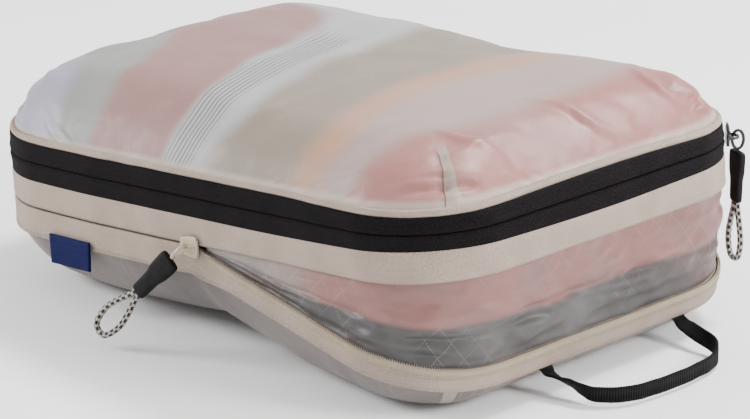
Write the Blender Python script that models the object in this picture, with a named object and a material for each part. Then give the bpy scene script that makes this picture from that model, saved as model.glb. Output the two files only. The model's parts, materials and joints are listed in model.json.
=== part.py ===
"""A soft packing cube with a compression zip, standing with that zip part-way open.

The cube has a lid, a shallow middle ring and a base. The black main zip joins the lid to the ring
on three sides, and the rear side is the lid's fabric hinge. The pale compression zip joins the ring
to the base. Left of its slider it is closed; right of it the base hangs open on a fabric gusset.

Frame: +X along the length, towards the carrying handle; -Y is the front, where the compression
slider is; +Z up. The origin is the centre of the footprint, on the surface that the cube stands on.
"""

import math

import bmesh
import bpy
from mathutils import Matrix, Vector

# ---- Driving dimensions, in metres and radians ----
LENGTH = 0.36
WIDTH = 0.26
CORNER = 0.055  # radius of the four upright corners, in plan
RING_HEIGHT = 0.0856  # the main zip's centre line above the surface, at mid length
RING_TILT = math.radians(5.35)  # the ring rises towards the handle
FOLD_OPEN = math.radians(16)  # how far the base's right part hangs open
FOLD_X = 0.004  # the fold, where the compression slider stands
FABRIC = 0.0012
GAP = 0.0003

# Heights in the ring's own frame, measured from the main zip's centre line.
TAPE_EDGE = 0.0100  # half the visible width of the main zip
COIL_HALF = 0.0020  # height of one half of a zip's coil
BAND_BOTTOM = -0.0190  # lower edge of the fabric band under the main zip
FOLD_Z = -0.0260  # the compression zip's centre line
LOWER_TAPE_BOTTOM = -0.0420
BINDING_RADIUS = 0.0022
HINGE_MARGIN = 0.0040  # from each end of the lid's fabric hinge to the start of the corner
LID_SHOULDER = 0.0450  # how far the lid's rounded shoulder reaches in from the outline
LID_SIDE_TOP = 0.0370  # top of the shoulder
LID_CROWN = 0.0115  # how much higher the middle of the lid is
LID_LEFT_RISE = 0.0070  # how much fuller the lid is at its left end than at its right
SOFT_EDGE = 0.42  # how much of a rounded soft edge is a plain slope
SIDE_BULGE = 0.0020

# The base's underside.
LEFT_ROUND, RIGHT_ROUND = 0.048, 0.036  # how far the rounded lower edge reaches in at each end
KINK_HEIGHT = 0.0180  # clearance under the fold
LEFT_REST = -0.100  # the underside is flat on the surface from here to the left
RIGHT_REST = 0.085  # and from here to the right

# Carrying handle.
HANDLE_FRONT_Y = -0.038
HANDLE_REAR_Y = 0.066
HANDLE_WIDTH = 0.0085
HANDLE_THICK = 0.0018
HANDLE_REACH = 0.0410

CORD_RADIUS = 0.00135
WIRE = 0.0009  # radius of the sliders' bridges and rings

CORNER_STEPS = 7
FRONT_STEPS = 7
SIDE_STEPS = 4

COLOURS = {
    "ripstop_top": ((0.62, 0.56, 0.55), 0.55),
    "ripstop_base": ((0.52, 0.47, 0.47), 0.55),
    "cream_fabric": ((0.70, 0.63, 0.56), 0.70),
    "cream_tape": ((0.66, 0.58, 0.52), 0.75),
    "cream_coil": ((0.60, 0.52, 0.44), 0.45),
    "black_tape": ((0.020, 0.018, 0.018), 0.75),
    "black_coil": ((0.025, 0.023, 0.023), 0.40),
    "black_pull": ((0.028, 0.026, 0.026), 0.55),
    "black_webbing": ((0.022, 0.021, 0.022), 0.80),
    "cream_slider": ((0.66, 0.58, 0.47), 0.45),
    "black_slider": ((0.020, 0.020, 0.020), 0.35),
    "cord": ((0.62, 0.60, 0.56), 0.80),
    "label": ((0.020, 0.040, 0.200), 0.70),
}


# ---- Scene, materials and bodies ----
def clear_scene():
    for item in list(bpy.data.objects):
        bpy.data.objects.remove(item)


def make_material(name):
    colour, roughness = COLOURS[name]
    material = bpy.data.materials.new(name)
    material.use_nodes = True
    shader = material.node_tree.nodes["Principled BSDF"]
    shader.inputs["Base Color"].default_value = (*colour, 1.0)
    shader.inputs["Roughness"].default_value = roughness
    shader.inputs["Metallic"].default_value = 0.0
    material.diffuse_color = (*colour, 1.0)
    return material


clear_scene()
MATERIALS = {name: make_material(name) for name in COLOURS}


def new_empty(name, location, parent):
    empty = bpy.data.objects.new(name, None)
    bpy.context.scene.collection.objects.link(empty)
    empty.location = location - (parent["at"] if parent else Vector((0, 0, 0)))
    if parent:
        empty.parent = parent["empty"]
    return {"empty": empty, "at": Vector(location)}


# ---- The ring's frame and the folded frame of the base's right part ----
RING_U = Vector((math.cos(RING_TILT), 0, math.sin(RING_TILT)))
RING_W = Vector((-math.sin(RING_TILT), 0, math.cos(RING_TILT)))
RING_ORIGIN = Vector((0, 0, RING_HEIGHT))


def ring(x, y, z):
    """A point given in the ring's frame, where the main zip lies flat at z = 0."""
    return RING_ORIGIN + RING_U * x + Vector((0, y, 0)) + RING_W * z


FOLD_POINT = ring(FOLD_X, 0, FOLD_Z)
FOLD_TURN = Matrix.Rotation(FOLD_OPEN, 3, "Y")


def fold(x, y, z):
    """A point of the base's right part, given where it lies when the compression zip is closed."""
    return FOLD_POINT + FOLD_TURN @ (ring(x, y, z) - FOLD_POINT)


# ---- Outline in plan ----
def straight(start, end, normal, steps):
    """Points from start to end, each with the outline's outward normal."""
    points = []
    for i in range(steps + 1):
        t = i / steps
        x = start[0] + (end[0] - start[0]) * t
        y = start[1] + (end[1] - start[1]) * t
        points.append((x, y, *normal))
    return points


def corner(side_x, side_y, first_degrees):
    """A quarter turn, counter-clockwise from above, round one upright corner."""
    centre_x = side_x * (LENGTH / 2 - CORNER)
    centre_y = side_y * (WIDTH / 2 - CORNER)
    points = []
    for i in range(CORNER_STEPS + 1):
        angle = math.radians(first_degrees + 90 * i / CORNER_STEPS)
        nx, ny = math.cos(angle), math.sin(angle)
        points.append((centre_x + CORNER * nx, centre_y + CORNER * ny, nx, ny))
    return points


def joined(*runs):
    """The runs end to end, with each shared point kept once."""
    path = list(runs[0])
    for run in runs[1:]:
        path.extend(run[1:])
    return path


STRAIGHT_X = LENGTH / 2 - CORNER
STRAIGHT_Y = WIDTH / 2 - CORNER
FRONT, REAR = -WIDTH / 2, WIDTH / 2
LEFT_END = joined(
    corner(-1, 1, 90),
    straight((-LENGTH / 2, STRAIGHT_Y), (-LENGTH / 2, -STRAIGHT_Y), (-1, 0), SIDE_STEPS),
    corner(-1, -1, 180),
)
RIGHT_END = joined(
    corner(1, -1, 270),
    straight((LENGTH / 2, -STRAIGHT_Y), (LENGTH / 2, STRAIGHT_Y), (1, 0), SIDE_STEPS),
    corner(1, 1, 0),
)


def left_path(cut):
    """Round the left end, from the rear side at x = cut to the front side at x = cut."""
    return joined(
        straight((cut, REAR), (-STRAIGHT_X, REAR), (0, 1), FRONT_STEPS),
        LEFT_END,
        straight((-STRAIGHT_X, FRONT), (cut, FRONT), (0, -1), FRONT_STEPS),
    )


def right_path(cut):
    """Round the right end, from the front side at x = cut to the rear side at x = cut."""
    return joined(
        straight((cut, FRONT), (STRAIGHT_X, FRONT), (0, -1), FRONT_STEPS),
        RIGHT_END,
        straight((STRAIGHT_X, REAR), (cut, REAR), (0, 1), FRONT_STEPS),
    )


FULL_PATH = joined(left_path(FOLD_X), right_path(FOLD_X))[:-1]
ZIP_PATH = joined(
    LEFT_END, straight((-STRAIGHT_X, FRONT), (STRAIGHT_X, FRONT), (0, -1), 2 * FRONT_STEPS), RIGHT_END
)


# ---- Mesh helpers ----
def finish_object(name, mesh, body, material):
    """Link a mesh made in world coordinates as one named sub-part of a body."""
    mesh.transform(Matrix.Translation(-body["at"]))
    mesh.materials.append(MATERIALS[material])
    item = bpy.data.objects.new(name, mesh)
    bpy.context.scene.collection.objects.link(item)
    item.parent = body["empty"]
    return item


def shade(mesh):
    """Smooth shading, with the sharp edges kept."""
    mesh.shade_smooth()
    mesh.set_sharp_from_angle(angle=math.radians(40))


def mesh_from(name, points, faces):
    mesh = bpy.data.meshes.new(name)
    mesh.from_pydata([tuple(p) for p in points], [], faces)
    shape = bmesh.new()
    shape.from_mesh(mesh)
    bmesh.ops.recalc_face_normals(shape, faces=shape.faces)
    shape.to_mesh(mesh)
    shape.free()
    shade(mesh)
    return mesh


def sheet(name, rows, closed, body, material, thickness=FABRIC, cap=None):
    """A skin of the given thickness behind a grid of points.

    Each row is one column of points along the path, from its lower to its upper edge.
    """
    count, height = len(rows), len(rows[0])
    points = [p for row in rows for p in row]
    faces = []
    for i in range(count if closed else count - 1):
        a, b = i * height, ((i + 1) % count) * height
        for j in range(height - 1):
            faces.append((a + j, b + j, b + j + 1, a + j + 1))
    if cap is not None:
        points.append(cap)
        top = len(points) - 1
        for i in range(count):
            faces.append((i * height + height - 1, ((i + 1) % count) * height + height - 1, top))
    mesh = bpy.data.meshes.new(name)
    mesh.from_pydata([tuple(p) for p in points], [], faces)
    shade(mesh)
    item = finish_object(name, mesh, body, material)
    skin = item.modifiers.new("thickness", "SOLIDIFY")
    skin.thickness = thickness
    skin.offset = -1.0
    skin.use_even_offset = True
    return item


def slanted(x, z, side):
    """x moved so that each half stops at the plane that bisects the fold, less half a gap."""
    reach = max(FOLD_Z - z, 0.0) * math.tan(FOLD_OPEN / 2)
    return x + side * (reach + GAP)


def section_at(path, i, section, place, cut):
    """A section's points at one place of the path. cut is -1 or 1 on a half that ends at the fold."""
    x, y, nx, ny = path[i]
    at_cut = cut and i in (0, len(path) - 1)
    points = []
    for out, z in section:
        px = slanted(x, z, cut) if at_cut else x + nx * out
        points.append(place(px, y + ny * out, z))
    return points


def strip(name, path, profile, place, body, material, closed=False, cut=0):
    """A band along the path. profile is (outward offset, height) from its lower to its upper edge."""
    rows = [section_at(path, i, profile, place, cut) for i in range(len(path))]
    return sheet(name, rows, closed, body, material)


def loop_section(centre_out, centre_z, radius, sides=6):
    """A round section, as (outward offset, height), counter-clockwise."""
    section = []
    for k in range(sides):
        angle = 2 * math.pi * k / sides
        section.append((centre_out + radius * math.cos(angle), centre_z + radius * math.sin(angle)))
    return section


def box_section(low_out, high_out, low_z, high_z):
    return [(low_out, low_z), (high_out, low_z), (high_out, high_z), (low_out, high_z)]


def bar(name, path, section, place, body, material, closed=False, cut=0):
    """A solid section swept along the path."""
    sides = len(section)
    points = []
    for i in range(len(path)):
        points.extend(section_at(path, i, section, place, cut))
    faces = []
    for i in range(len(path) if closed else len(path) - 1):
        a, b = i * sides, ((i + 1) % len(path)) * sides
        for j in range(sides):
            k = (j + 1) % sides
            faces.append((a + j, b + j, b + k, a + k))
    if not closed:
        faces.append(tuple(range(sides)))
        faces.append(tuple(range(len(points) - sides, len(points)))[::-1])
    return finish_object(name, mesh_from(name, points, faces), body, material)


def extruded(name, outline, depth_vector, body, material, bevel=0.0, segments=2):
    """A closed prism: the outline's points, and the same points moved by depth_vector."""
    count = len(outline)
    points = list(outline) + [p + depth_vector for p in outline]
    faces = [tuple(range(count)), tuple(range(count, 2 * count))[::-1]]
    for j in range(count):
        k = (j + 1) % count
        faces.append((j, k, count + k, count + j))
    item = finish_object(name, mesh_from(name, points, faces), body, material)
    if bevel:
        edge = item.modifiers.new("edges", "BEVEL")
        edge.width = bevel
        edge.segments = segments
        edge.limit_method = "ANGLE"
        edge.angle_limit = math.radians(35)
    return item


def tube(name, points, radius, body, material, cyclic=False, resolution=2):
    """A round wire or cord through the points, with filled ends."""
    curve = bpy.data.curves.new(name, "CURVE")
    curve.dimensions = "3D"
    curve.bevel_depth = radius
    curve.bevel_resolution = resolution
    curve.use_fill_caps = True
    spline = curve.splines.new("POLY")
    spline.points.add(len(points) - 1)
    for slot, p in zip(spline.points, points):
        slot.co = (*(p - body["at"]), 1.0)
    spline.use_cyclic_u = cyclic
    curve.materials.append(MATERIALS[material])
    item = bpy.data.objects.new(name, curve)
    bpy.context.scene.collection.objects.link(item)
    item.parent = body["empty"]
    return item


def smooth_curve(knots, per_span):
    """Points on a smooth curve through the knots (Catmull-Rom)."""
    ends = [knots[0] * 2 - knots[1], *knots, knots[-1] * 2 - knots[-2]]
    points = []
    for i in range(1, len(ends) - 2):
        p0, p1, p2, p3 = ends[i - 1 : i + 3]
        for s in range(per_span):
            t = s / per_span
            points.append(
                0.5
                * (
                    p1 * 2
                    + (p2 - p0) * t
                    + (p0 * 2 - p1 * 5 + p2 * 4 - p3) * t**2
                    + (p1 * 3 - p0 - p2 * 3 + p3) * t**3
                )
            )
    points.append(knots[-1])
    return points


# ---- Bodies, each with its origin on its joint's axis ----
HINGE_OUT = 0.0030  # the lid turns about a line just outside the rear wall
MAIN_SLIDER_ANGLE = math.radians(45)  # where the main slider stands on its corner
CORNER_CENTRE = ring(STRAIGHT_X, STRAIGHT_Y, 0)
SLIDER_OUT = 0.0072  # from the outline to the bar of a slider's bridge


def on_corner(angle, out, z):
    """A point by the rear right corner, by its angle round the corner and its offset."""
    return ring(
        STRAIGHT_X + (CORNER + out) * math.cos(angle), STRAIGHT_Y + (CORNER + out) * math.sin(angle), z
    )


ROOT = new_empty("cube", Vector((0, 0, 0)), None)
LID = new_empty("lid_axis", ring(0, REAR + HINGE_OUT, TAPE_EDGE + GAP), ROOT)
BASE = new_empty("fold_axis", FOLD_POINT, ROOT)
SLIDER = new_empty("compression_slider_axis", ring(FOLD_X, FRONT, FOLD_Z), ROOT)
PULL = new_empty("compression_pull_axis", ring(FOLD_X, FRONT - SLIDER_OUT, FOLD_Z), SLIDER)
MAIN_SLIDER = new_empty("main_slider_axis", CORNER_CENTRE, ROOT)
MAIN_PULL = new_empty("main_pull_axis", on_corner(MAIN_SLIDER_ANGLE, SLIDER_OUT, 0), MAIN_SLIDER)
HANDLE_OUT = 0.0020  # the webbing leaves the seam under the lower tape here
HANDLE_Z = LOWER_TAPE_BOTTOM - 0.0010
HANDLE = new_empty("handle_axis", fold(LENGTH / 2 + HANDLE_OUT, 0, HANDLE_Z), BASE)


def soft_inset(share):
    """How far in a soft rounded edge is, from 0 at its wall to 1 at its flat face."""
    turn = math.pi / 2 * share
    return SOFT_EDGE * share + (1 - SOFT_EDGE) * (1 - math.cos(turn))


# ---- Lid ----
def lid_profile():
    """Inset and height of the lid's side and shoulder, from the binding up."""
    steps = 7
    low = TAPE_EDGE + 2 * BINDING_RADIUS + 2 * GAP + FABRIC / 2
    profile = []
    for i in range(steps + 1):
        share = i / steps
        inset = LID_SHOULDER * soft_inset(share)
        profile.append((-inset, low + (LID_SIDE_TOP - low) * math.sin(math.pi / 2 * share)))
    return profile


def build_lid():
    profile = lid_profile()

    def lid_point(x, y, z):
        """A point of the lid, which stands fuller towards its left end."""
        share = (LENGTH / 2 - x) / LENGTH
        lift = LID_LEFT_RISE * share * (z - profile[0][1]) / (LID_SIDE_TOP - profile[0][1])
        return ring(x, y, z + lift)

    inner_rings = (0.72, 0.40)  # the flat top's rings, as shares of the way from the centre
    rows = []
    for x, y, nx, ny in FULL_PATH:
        row = [lid_point(x + nx * out, y + ny * out, z) for out, z in profile]
        edge_x, edge_y = x + nx * profile[-1][0], y + ny * profile[-1][0]
        for share in inner_rings:
            height = LID_SIDE_TOP + LID_CROWN * (1 - share**2)
            row.append(lid_point(edge_x * share, edge_y * share, height))
        rows.append(row)
    sheet("lid_panel", rows, True, LID, "ripstop_top", cap=lid_point(0, 0, LID_SIDE_TOP + LID_CROWN))
    bar(
        "lid_binding",
        FULL_PATH,
        loop_section(-FABRIC / 2, TAPE_EDGE + GAP + BINDING_RADIUS, BINDING_RADIUS),
        ring,
        LID,
        "cream_fabric",
        closed=True,
    )
    strip(
        "main_zip_upper_tape", ZIP_PATH, [(0, GAP / 2), (0, TAPE_EDGE)], ring, LID, "black_tape"
    )
    bar(
        "main_zip_upper_coil",
        ZIP_PATH,
        box_section(-0.0030, -FABRIC - GAP, GAP / 2, COIL_HALF),
        ring,
        LID,
        "black_coil",
    )


# ---- Middle ring, with the closed left part of the base ----
def build_ring():
    strip("main_zip_lower_tape", ZIP_PATH, [(0, -TAPE_EDGE), (0, -GAP / 2)], ring, ROOT, "black_tape")
    bar(
        "main_zip_lower_coil",
        ZIP_PATH,
        box_section(-0.0030, -FABRIC - GAP, -COIL_HALF, -GAP / 2),
        ring,
        ROOT,
        "black_coil",
    )
    hinge_end = STRAIGHT_X - HINGE_MARGIN
    hinge_path = straight((hinge_end, REAR), (-hinge_end, REAR), (0, 1), 6)
    strip(
        "hinge_panel", hinge_path, [(0, -TAPE_EDGE), (0, TAPE_EDGE)], ring, ROOT, "cream_fabric"
    )
    # A tab covers each end of the main zip's lower half.
    tab_y, tab_thick = REAR + 0.0004, 0.0009
    tab_low, tab_high = -0.0085, -0.0006
    for side, name in ((-1, "main_zip_end_left"), (1, "main_zip_end_right")):
        outer, inner = side * (STRAIGHT_X + 0.003), side * (STRAIGHT_X - 0.010)
        low, high = min(outer, inner), max(outer, inner)
        outline = [
            ring(low, tab_y, tab_low),
            ring(high, tab_y, tab_low),
            ring(high, tab_y, tab_high),
            ring(low, tab_y, tab_high),
        ]
        extruded(name, outline, Vector((0, tab_thick, 0)), ROOT, "cream_tape")
    strip(
        "mid_band",
        FULL_PATH,
        [(0, BAND_BOTTOM), (0.0004, (BAND_BOTTOM - TAPE_EDGE) / 2), (0, -TAPE_EDGE - GAP)],
        ring,
        ROOT,
        "cream_fabric",
        closed=True,
    )
    upper_tape_bottom = FOLD_Z + COIL_HALF / 2 + GAP
    strip(
        "compression_upper_tape",
        FULL_PATH,
        [(0, upper_tape_bottom), (0, BAND_BOTTOM - GAP)],
        ring,
        ROOT,
        "cream_tape",
        closed=True,
    )
    bar(
        "compression_upper_coil",
        FULL_PATH,
        box_section(-0.0016, 0.0004, FOLD_Z + GAP / 2, FOLD_Z + COIL_HALF / 2),
        ring,
        ROOT,
        "cream_coil",
        closed=True,
    )


def build_base_zip(side, name, path, place, body):
    """The base's half of the compression zip, on one side of the fold: its coil and its tape."""
    bar(
        f"compression_lower_coil_{name}",
        path,
        box_section(-0.0016, 0.0004, FOLD_Z - COIL_HALF / 2, FOLD_Z - GAP / 2),
        place,
        body,
        "cream_coil",
        cut=side,
    )
    strip(
        f"compression_lower_tape_{name}",
        path,
        [(0, LOWER_TAPE_BOTTOM), (0, FOLD_Z - COIL_HALF / 2 - GAP)],
        place,
        body,
        "cream_tape",
        cut=side,
    )


def underside(x):
    """Height of the base's underside above the surface that it stands on."""
    if x < FOLD_X:
        share = (x - LEFT_REST) / (FOLD_X - LEFT_REST)
    else:
        share = (RIGHT_REST - x) / (RIGHT_REST - FOLD_X)
    return KINK_HEIGHT * max(share, 0.0) ** 1.4


def edge_round(x):
    """How far the lower edge is rounded, which grows smoothly from the right end to the left."""
    share = (x + LENGTH / 2) / LENGTH
    return LEFT_ROUND + (RIGHT_ROUND - LEFT_ROUND) * share


def fold_plane_x(z):
    """Where the plane between the two halves of the base stands, at a height above the surface."""
    lean = math.tan(FOLD_OPEN / 2 - RING_TILT)
    return FOLD_POINT.x - (FOLD_POINT.z - z) * lean


def wall_column(x, y, nx, ny, place, at_cut, side):
    """The base wall's points at one place of the outline, from the underside up to the tape."""
    steps = 5
    top = place(x, y, LOWER_TAPE_BOTTOM - GAP - FABRIC / 2)
    inset = edge_round(x)
    foot = place(x - nx * inset, y - ny * inset, LOWER_TAPE_BOTTOM)
    foot.z = underside(foot.x)
    column = []
    for i in range(steps + 1):
        share = 1 - i / steps
        across = (foot - top) * soft_inset(share)
        point = top + across + Vector((nx, ny, 0)) * SIDE_BULGE * math.sin(math.pi * share)
        point.z = top.z + (foot.z - top.z) * math.sin(math.pi / 2 * share)
        if at_cut:
            point.x = fold_plane_x(point.z) + side * GAP
        column.append(point)
    return column


def build_base_half(side, name, path, place, body):
    """The base's wall and underside on one side of the fold. side is -1 left, 1 right."""
    last = len(path) - 1
    rows = []
    for i, (x, y, nx, ny) in enumerate(path):
        rows.append(wall_column(x, y, nx, ny, place, i in (0, last), side))
    sheet(f"base_wall_{name}", rows, False, body, "ripstop_base")
    # The underside spans from front to rear between the wall's lower edges.
    edge = []
    for row, (x, y, nx, ny) in zip(rows, path):
        edge.append(row[0] - Vector((nx, ny, 0)) * 2 * GAP)
    columns = []
    for i in range(FRONT_STEPS + CORNER_STEPS + 1):
        columns.append([edge[last - i], edge[i]])
    shift = Vector((side * GAP, 0, 0))
    columns[0] = [p + shift for p in columns[0]]
    sheet(f"bottom_panel_{name}", columns, False, body, "ripstop_base")


def build_gusset():
    """The pleated skin that fills the open part of the compression zip, tucked behind both tapes."""
    inside = -0.0030
    start = FOLD_X + 0.010
    rows = []
    for x, y, nx, ny in right_path(start):
        px, py = x + nx * inside, y + ny * inside
        upper = ring(px, py, FOLD_Z + 0.0035)
        lower = fold(px, py, FOLD_Z - 0.0035)
        tuck = Vector((nx, ny, 0)) * -0.0040
        middle = (upper + lower) / 2 + tuck * min((upper - lower).length / 0.04, 1.0)
        rows.append([lower, middle, upper])
    sheet("gusset", rows, False, ROOT, "ripstop_base", thickness=0.0008)


def build_label():
    """A folded woven loop, sewn in under the compression zip's lower tape."""
    left, right = -0.1095, -0.0755
    out = FRONT - 0.0016
    top, bottom = LOWER_TAPE_BOTTOM + 0.0040, LOWER_TAPE_BOTTOM - 0.0125
    layer, hollow = 0.0007, 0.0006
    outer_y, inner_y = out - 2 * layer - hollow, out
    outline = [
        ring(left, inner_y, top),
        ring(left, inner_y, bottom + layer),
        ring(left, (inner_y + outer_y) / 2, bottom),
        ring(left, outer_y, bottom + layer),
        ring(left, outer_y, top),
        ring(left, outer_y + layer, top),
        ring(left, outer_y + layer, bottom + 2 * layer),
        ring(left, inner_y - layer, bottom + 2 * layer),
        ring(left, inner_y - layer, top),
    ]
    extruded("side_label", outline, RING_U * (right - left), ROOT, "label")


# ---- Sliders and pulls ----
def slider(prefix, centre, along, outward, up, body, material):
    """A slider's plate in front of the zip, with the bridge that carries its pull."""
    plate = ((-0.0065, 0.0035), (-0.0045, 0.0045), (0.0045, 0.0052), (0.0065, 0.0042))
    front = [centre + along * a + up * b for a, b in plate]
    back = [centre + along * a - up * b for a, b in reversed(plate)]
    lift = outward * 0.0007
    outline = [p + lift for p in front + back]
    extruded(f"{prefix}_slider_body", outline, outward * 0.0016, body, material, bevel=0.0004)
    # The arch of the bridge stands on the plate.
    foot, rise = 0.0026 + WIRE, SLIDER_OUT
    arch = []
    steps = 8
    for i in range(steps + 1):
        turn = math.pi * i / steps
        height = foot + (rise - foot) * math.sin(turn)
        arch.append(centre - along * 0.0038 * math.cos(turn) + outward * height)
    tube(f"{prefix}_slider_bridge", arch, WIRE, body, material)


def pull(prefix, pivot, down, side, body, ring_material, loop_length):
    """The ring through the bridge, the moulded sleeve, and the cord loop that comes out of it."""
    face = down.cross(side).normalized()
    # The ring hangs round the bridge, with running clearance above and below its wire.
    clear = 2 * WIRE + 4 * GAP
    ring_half_width, ring_length = 0.0031, 0.0104
    loop = []
    steps = 16
    for i in range(steps):
        turn = 2 * math.pi * i / steps
        loop.append(
            pivot
            - down * clear
            + down * ring_length * (1 - math.cos(turn)) / 2
            + face * ring_half_width * math.sin(turn)
        )
    tube(f"{prefix}_pull_ring", loop, WIRE, body, ring_material, cyclic=True)
    top = ring_length - clear + WIRE + GAP
    shape = ((0.0, 0.0034), (0.003, 0.0046), (0.012, 0.0049), (0.024, 0.0041), (0.0265, 0.0032))
    thick = 0.0046
    outline = [pivot + down * (top + d) + side * w - face * thick / 2 for d, w in shape]
    outline += [pivot + down * (top + d) - side * w - face * thick / 2 for d, w in reversed(shape)]
    extruded(f"{prefix}_pull_sleeve", outline, face * thick, body, "black_pull", bevel=0.0011)
    start = top + shape[-1][0] + GAP
    spread = ((0.0, 0.0016), (0.004, 0.0022), (0.012, 0.0048), (0.021, 0.0066))
    knots = [pivot + down * (start + d) + side * w for d, w in spread]
    knots.append(pivot + down * (start + loop_length * 0.93) + side * 0.0046)
    knots.append(pivot + down * (start + loop_length))
    knots.append(pivot + down * (start + loop_length * 0.93) - side * 0.0046)
    knots += [pivot + down * (start + d) - side * w for d, w in reversed(spread)]
    tube(f"{prefix}_pull_cord", smooth_curve(knots, 3), CORD_RADIUS, body, "cord")


def build_compression_pull():
    centre = ring(FOLD_X, FRONT, FOLD_Z)
    slider("compression", centre, RING_U, Vector((0, -1, 0)), RING_W, SLIDER, "cream_slider")
    down = Vector((-0.60, -0.30, -0.72)).normalized()
    side = down.cross(Vector((0, -1, 0))).normalized()
    pull("compression", PULL["at"], down, side, PULL, "cream_slider", 0.033)


def build_main_pull():
    angle = MAIN_SLIDER_ANGLE
    outward = Vector((math.cos(angle), math.sin(angle), 0))
    along = Vector((-math.sin(angle), math.cos(angle), 0))
    centre = on_corner(angle, 0, 0)
    slider("main", centre, along, outward, Vector((0, 0, 1)), MAIN_SLIDER, "black_slider")
    pull("main", MAIN_PULL["at"], Vector((0, 0, -1)), along, MAIN_PULL, "black_slider", 0.032)


# ---- Handle ----
def build_handle():
    """Webbing from root to root: flat in the seam, on edge where it droops and turns."""
    root_x = LENGTH / 2 + HANDLE_OUT
    front_root = fold(root_x, HANDLE_FRONT_Y, HANDLE_Z)
    rear_root = fold(root_x, HANDLE_REAR_Y, HANDLE_Z)
    middle = (front_root + rear_root) / 2
    half_span = (rear_root.y - front_root.y) / 2
    droop = HANDLE_WIDTH / 2 + 0.0012

    def handle_knot(side, y_share, reach_share):
        z = front_root.z + (droop - front_root.z) * min(reach_share * 1.5, 1.0)
        x = middle.x + HANDLE_REACH * reach_share
        return Vector((x, middle.y + side * half_span * y_share, z))

    shares = ((0.96, 0.30), (0.92, 0.62), (0.66, 0.90), (0.26, 1.0))
    front_knots = [handle_knot(-1, *share) for share in shares]
    rear_knots = [handle_knot(1, *share) for share in reversed(shares)]
    knots = [front_root, *front_knots, *rear_knots, rear_root]
    centre = smooth_curve(knots, 3)
    last = len(centre) - 1
    sections = []
    for i, p in enumerate(centre):
        ahead = (centre[min(i + 1, last)] - centre[max(i - 1, 0)]).normalized()
        share = min(i, last - i) / (0.30 * last)
        turn = math.radians(90) * min(share, 1.0)
        first_half = 1 if i <= last / 2 else -1
        width = Vector((0, -first_half * math.cos(turn), math.sin(turn)))
        width = (width - ahead * width.dot(ahead)).normalized()
        face = ahead.cross(width).normalized()
        a, b = width * HANDLE_WIDTH / 2, face * HANDLE_THICK / 2
        sections.append([p - a - b, p + a - b, p + a + b, p - a + b])
    points = [p for section in sections for p in section]
    faces = [(0, 1, 2, 3)]
    for i in range(len(sections) - 1):
        for j in range(4):
            k = (j + 1) % 4
            faces.append((4 * i + j, 4 * i + k, 4 * i + 4 + k, 4 * i + 4 + j))
    faces.append(tuple(len(points) - 4 + j for j in range(4)))
    mesh = mesh_from("handle_webbing", points, faces)
    finish_object("handle_webbing", mesh, HANDLE, "black_webbing")


def build_handle_anchors():
    """The sewn ends of the webbing, inside the seam behind the lower tape."""
    for name, y in (("handle_anchor_front", HANDLE_FRONT_Y), ("handle_anchor_rear", HANDLE_REAR_Y)):
        low_z, high_z = LOWER_TAPE_BOTTOM + 0.0004, LOWER_TAPE_BOTTOM + 0.0100
        x = LENGTH / 2 - FABRIC - GAP - HANDLE_THICK
        outline = [
            fold(x, y - HANDLE_WIDTH / 2, low_z),
            fold(x, y + HANDLE_WIDTH / 2, low_z),
            fold(x, y + HANDLE_WIDTH / 2, high_z),
            fold(x, y - HANDLE_WIDTH / 2, high_z),
        ]
        outward = fold(1, 0, 0) - fold(0, 0, 0)
        extruded(name, outline, outward * HANDLE_THICK, BASE, "black_webbing")


def centre_on_origin():
    """Move everything so that the origin is under the middle of the cube, cord loops apart."""
    bpy.context.view_layer.update()
    depsgraph = bpy.context.evaluated_depsgraph_get()
    low, high = [math.inf] * 2, [-math.inf] * 2
    for item in bpy.data.objects:
        if item.type == "EMPTY" or item.name.endswith("_cord"):
            continue
        shown = item.evaluated_get(depsgraph)
        mesh = shown.to_mesh()
        for vertex in mesh.vertices:
            at = item.matrix_world @ vertex.co
            for axis in range(2):
                low[axis] = min(low[axis], at[axis])
                high[axis] = max(high[axis], at[axis])
        shown.to_mesh_clear()
    ROOT["empty"].location = (-(low[0] + high[0]) / 2, -(low[1] + high[1]) / 2, 0)


build_lid()
build_ring()
build_base_zip(-1, "left", left_path(FOLD_X), ring, ROOT)
build_base_zip(1, "right", right_path(FOLD_X), fold, BASE)
build_base_half(-1, "left", left_path(FOLD_X), ring, ROOT)
build_base_half(1, "right", right_path(FOLD_X), fold, BASE)
build_gusset()
build_label()
build_compression_pull()
build_main_pull()
build_handle()
build_handle_anchors()
centre_on_origin()
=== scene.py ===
"""The looks of a soft packing cube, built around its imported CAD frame.

The frame gives the bodies, the joints and the cube's place. Every strip, skin and fitting here follows
the same outline as the CAD: a rounded rectangle in the tilted plane of the main zip, called the ring.
"""

import json
import math
from collections import namedtuple

import bmesh
import bpy
import numpy as np
from mathutils import Matrix, Vector, noise


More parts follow.
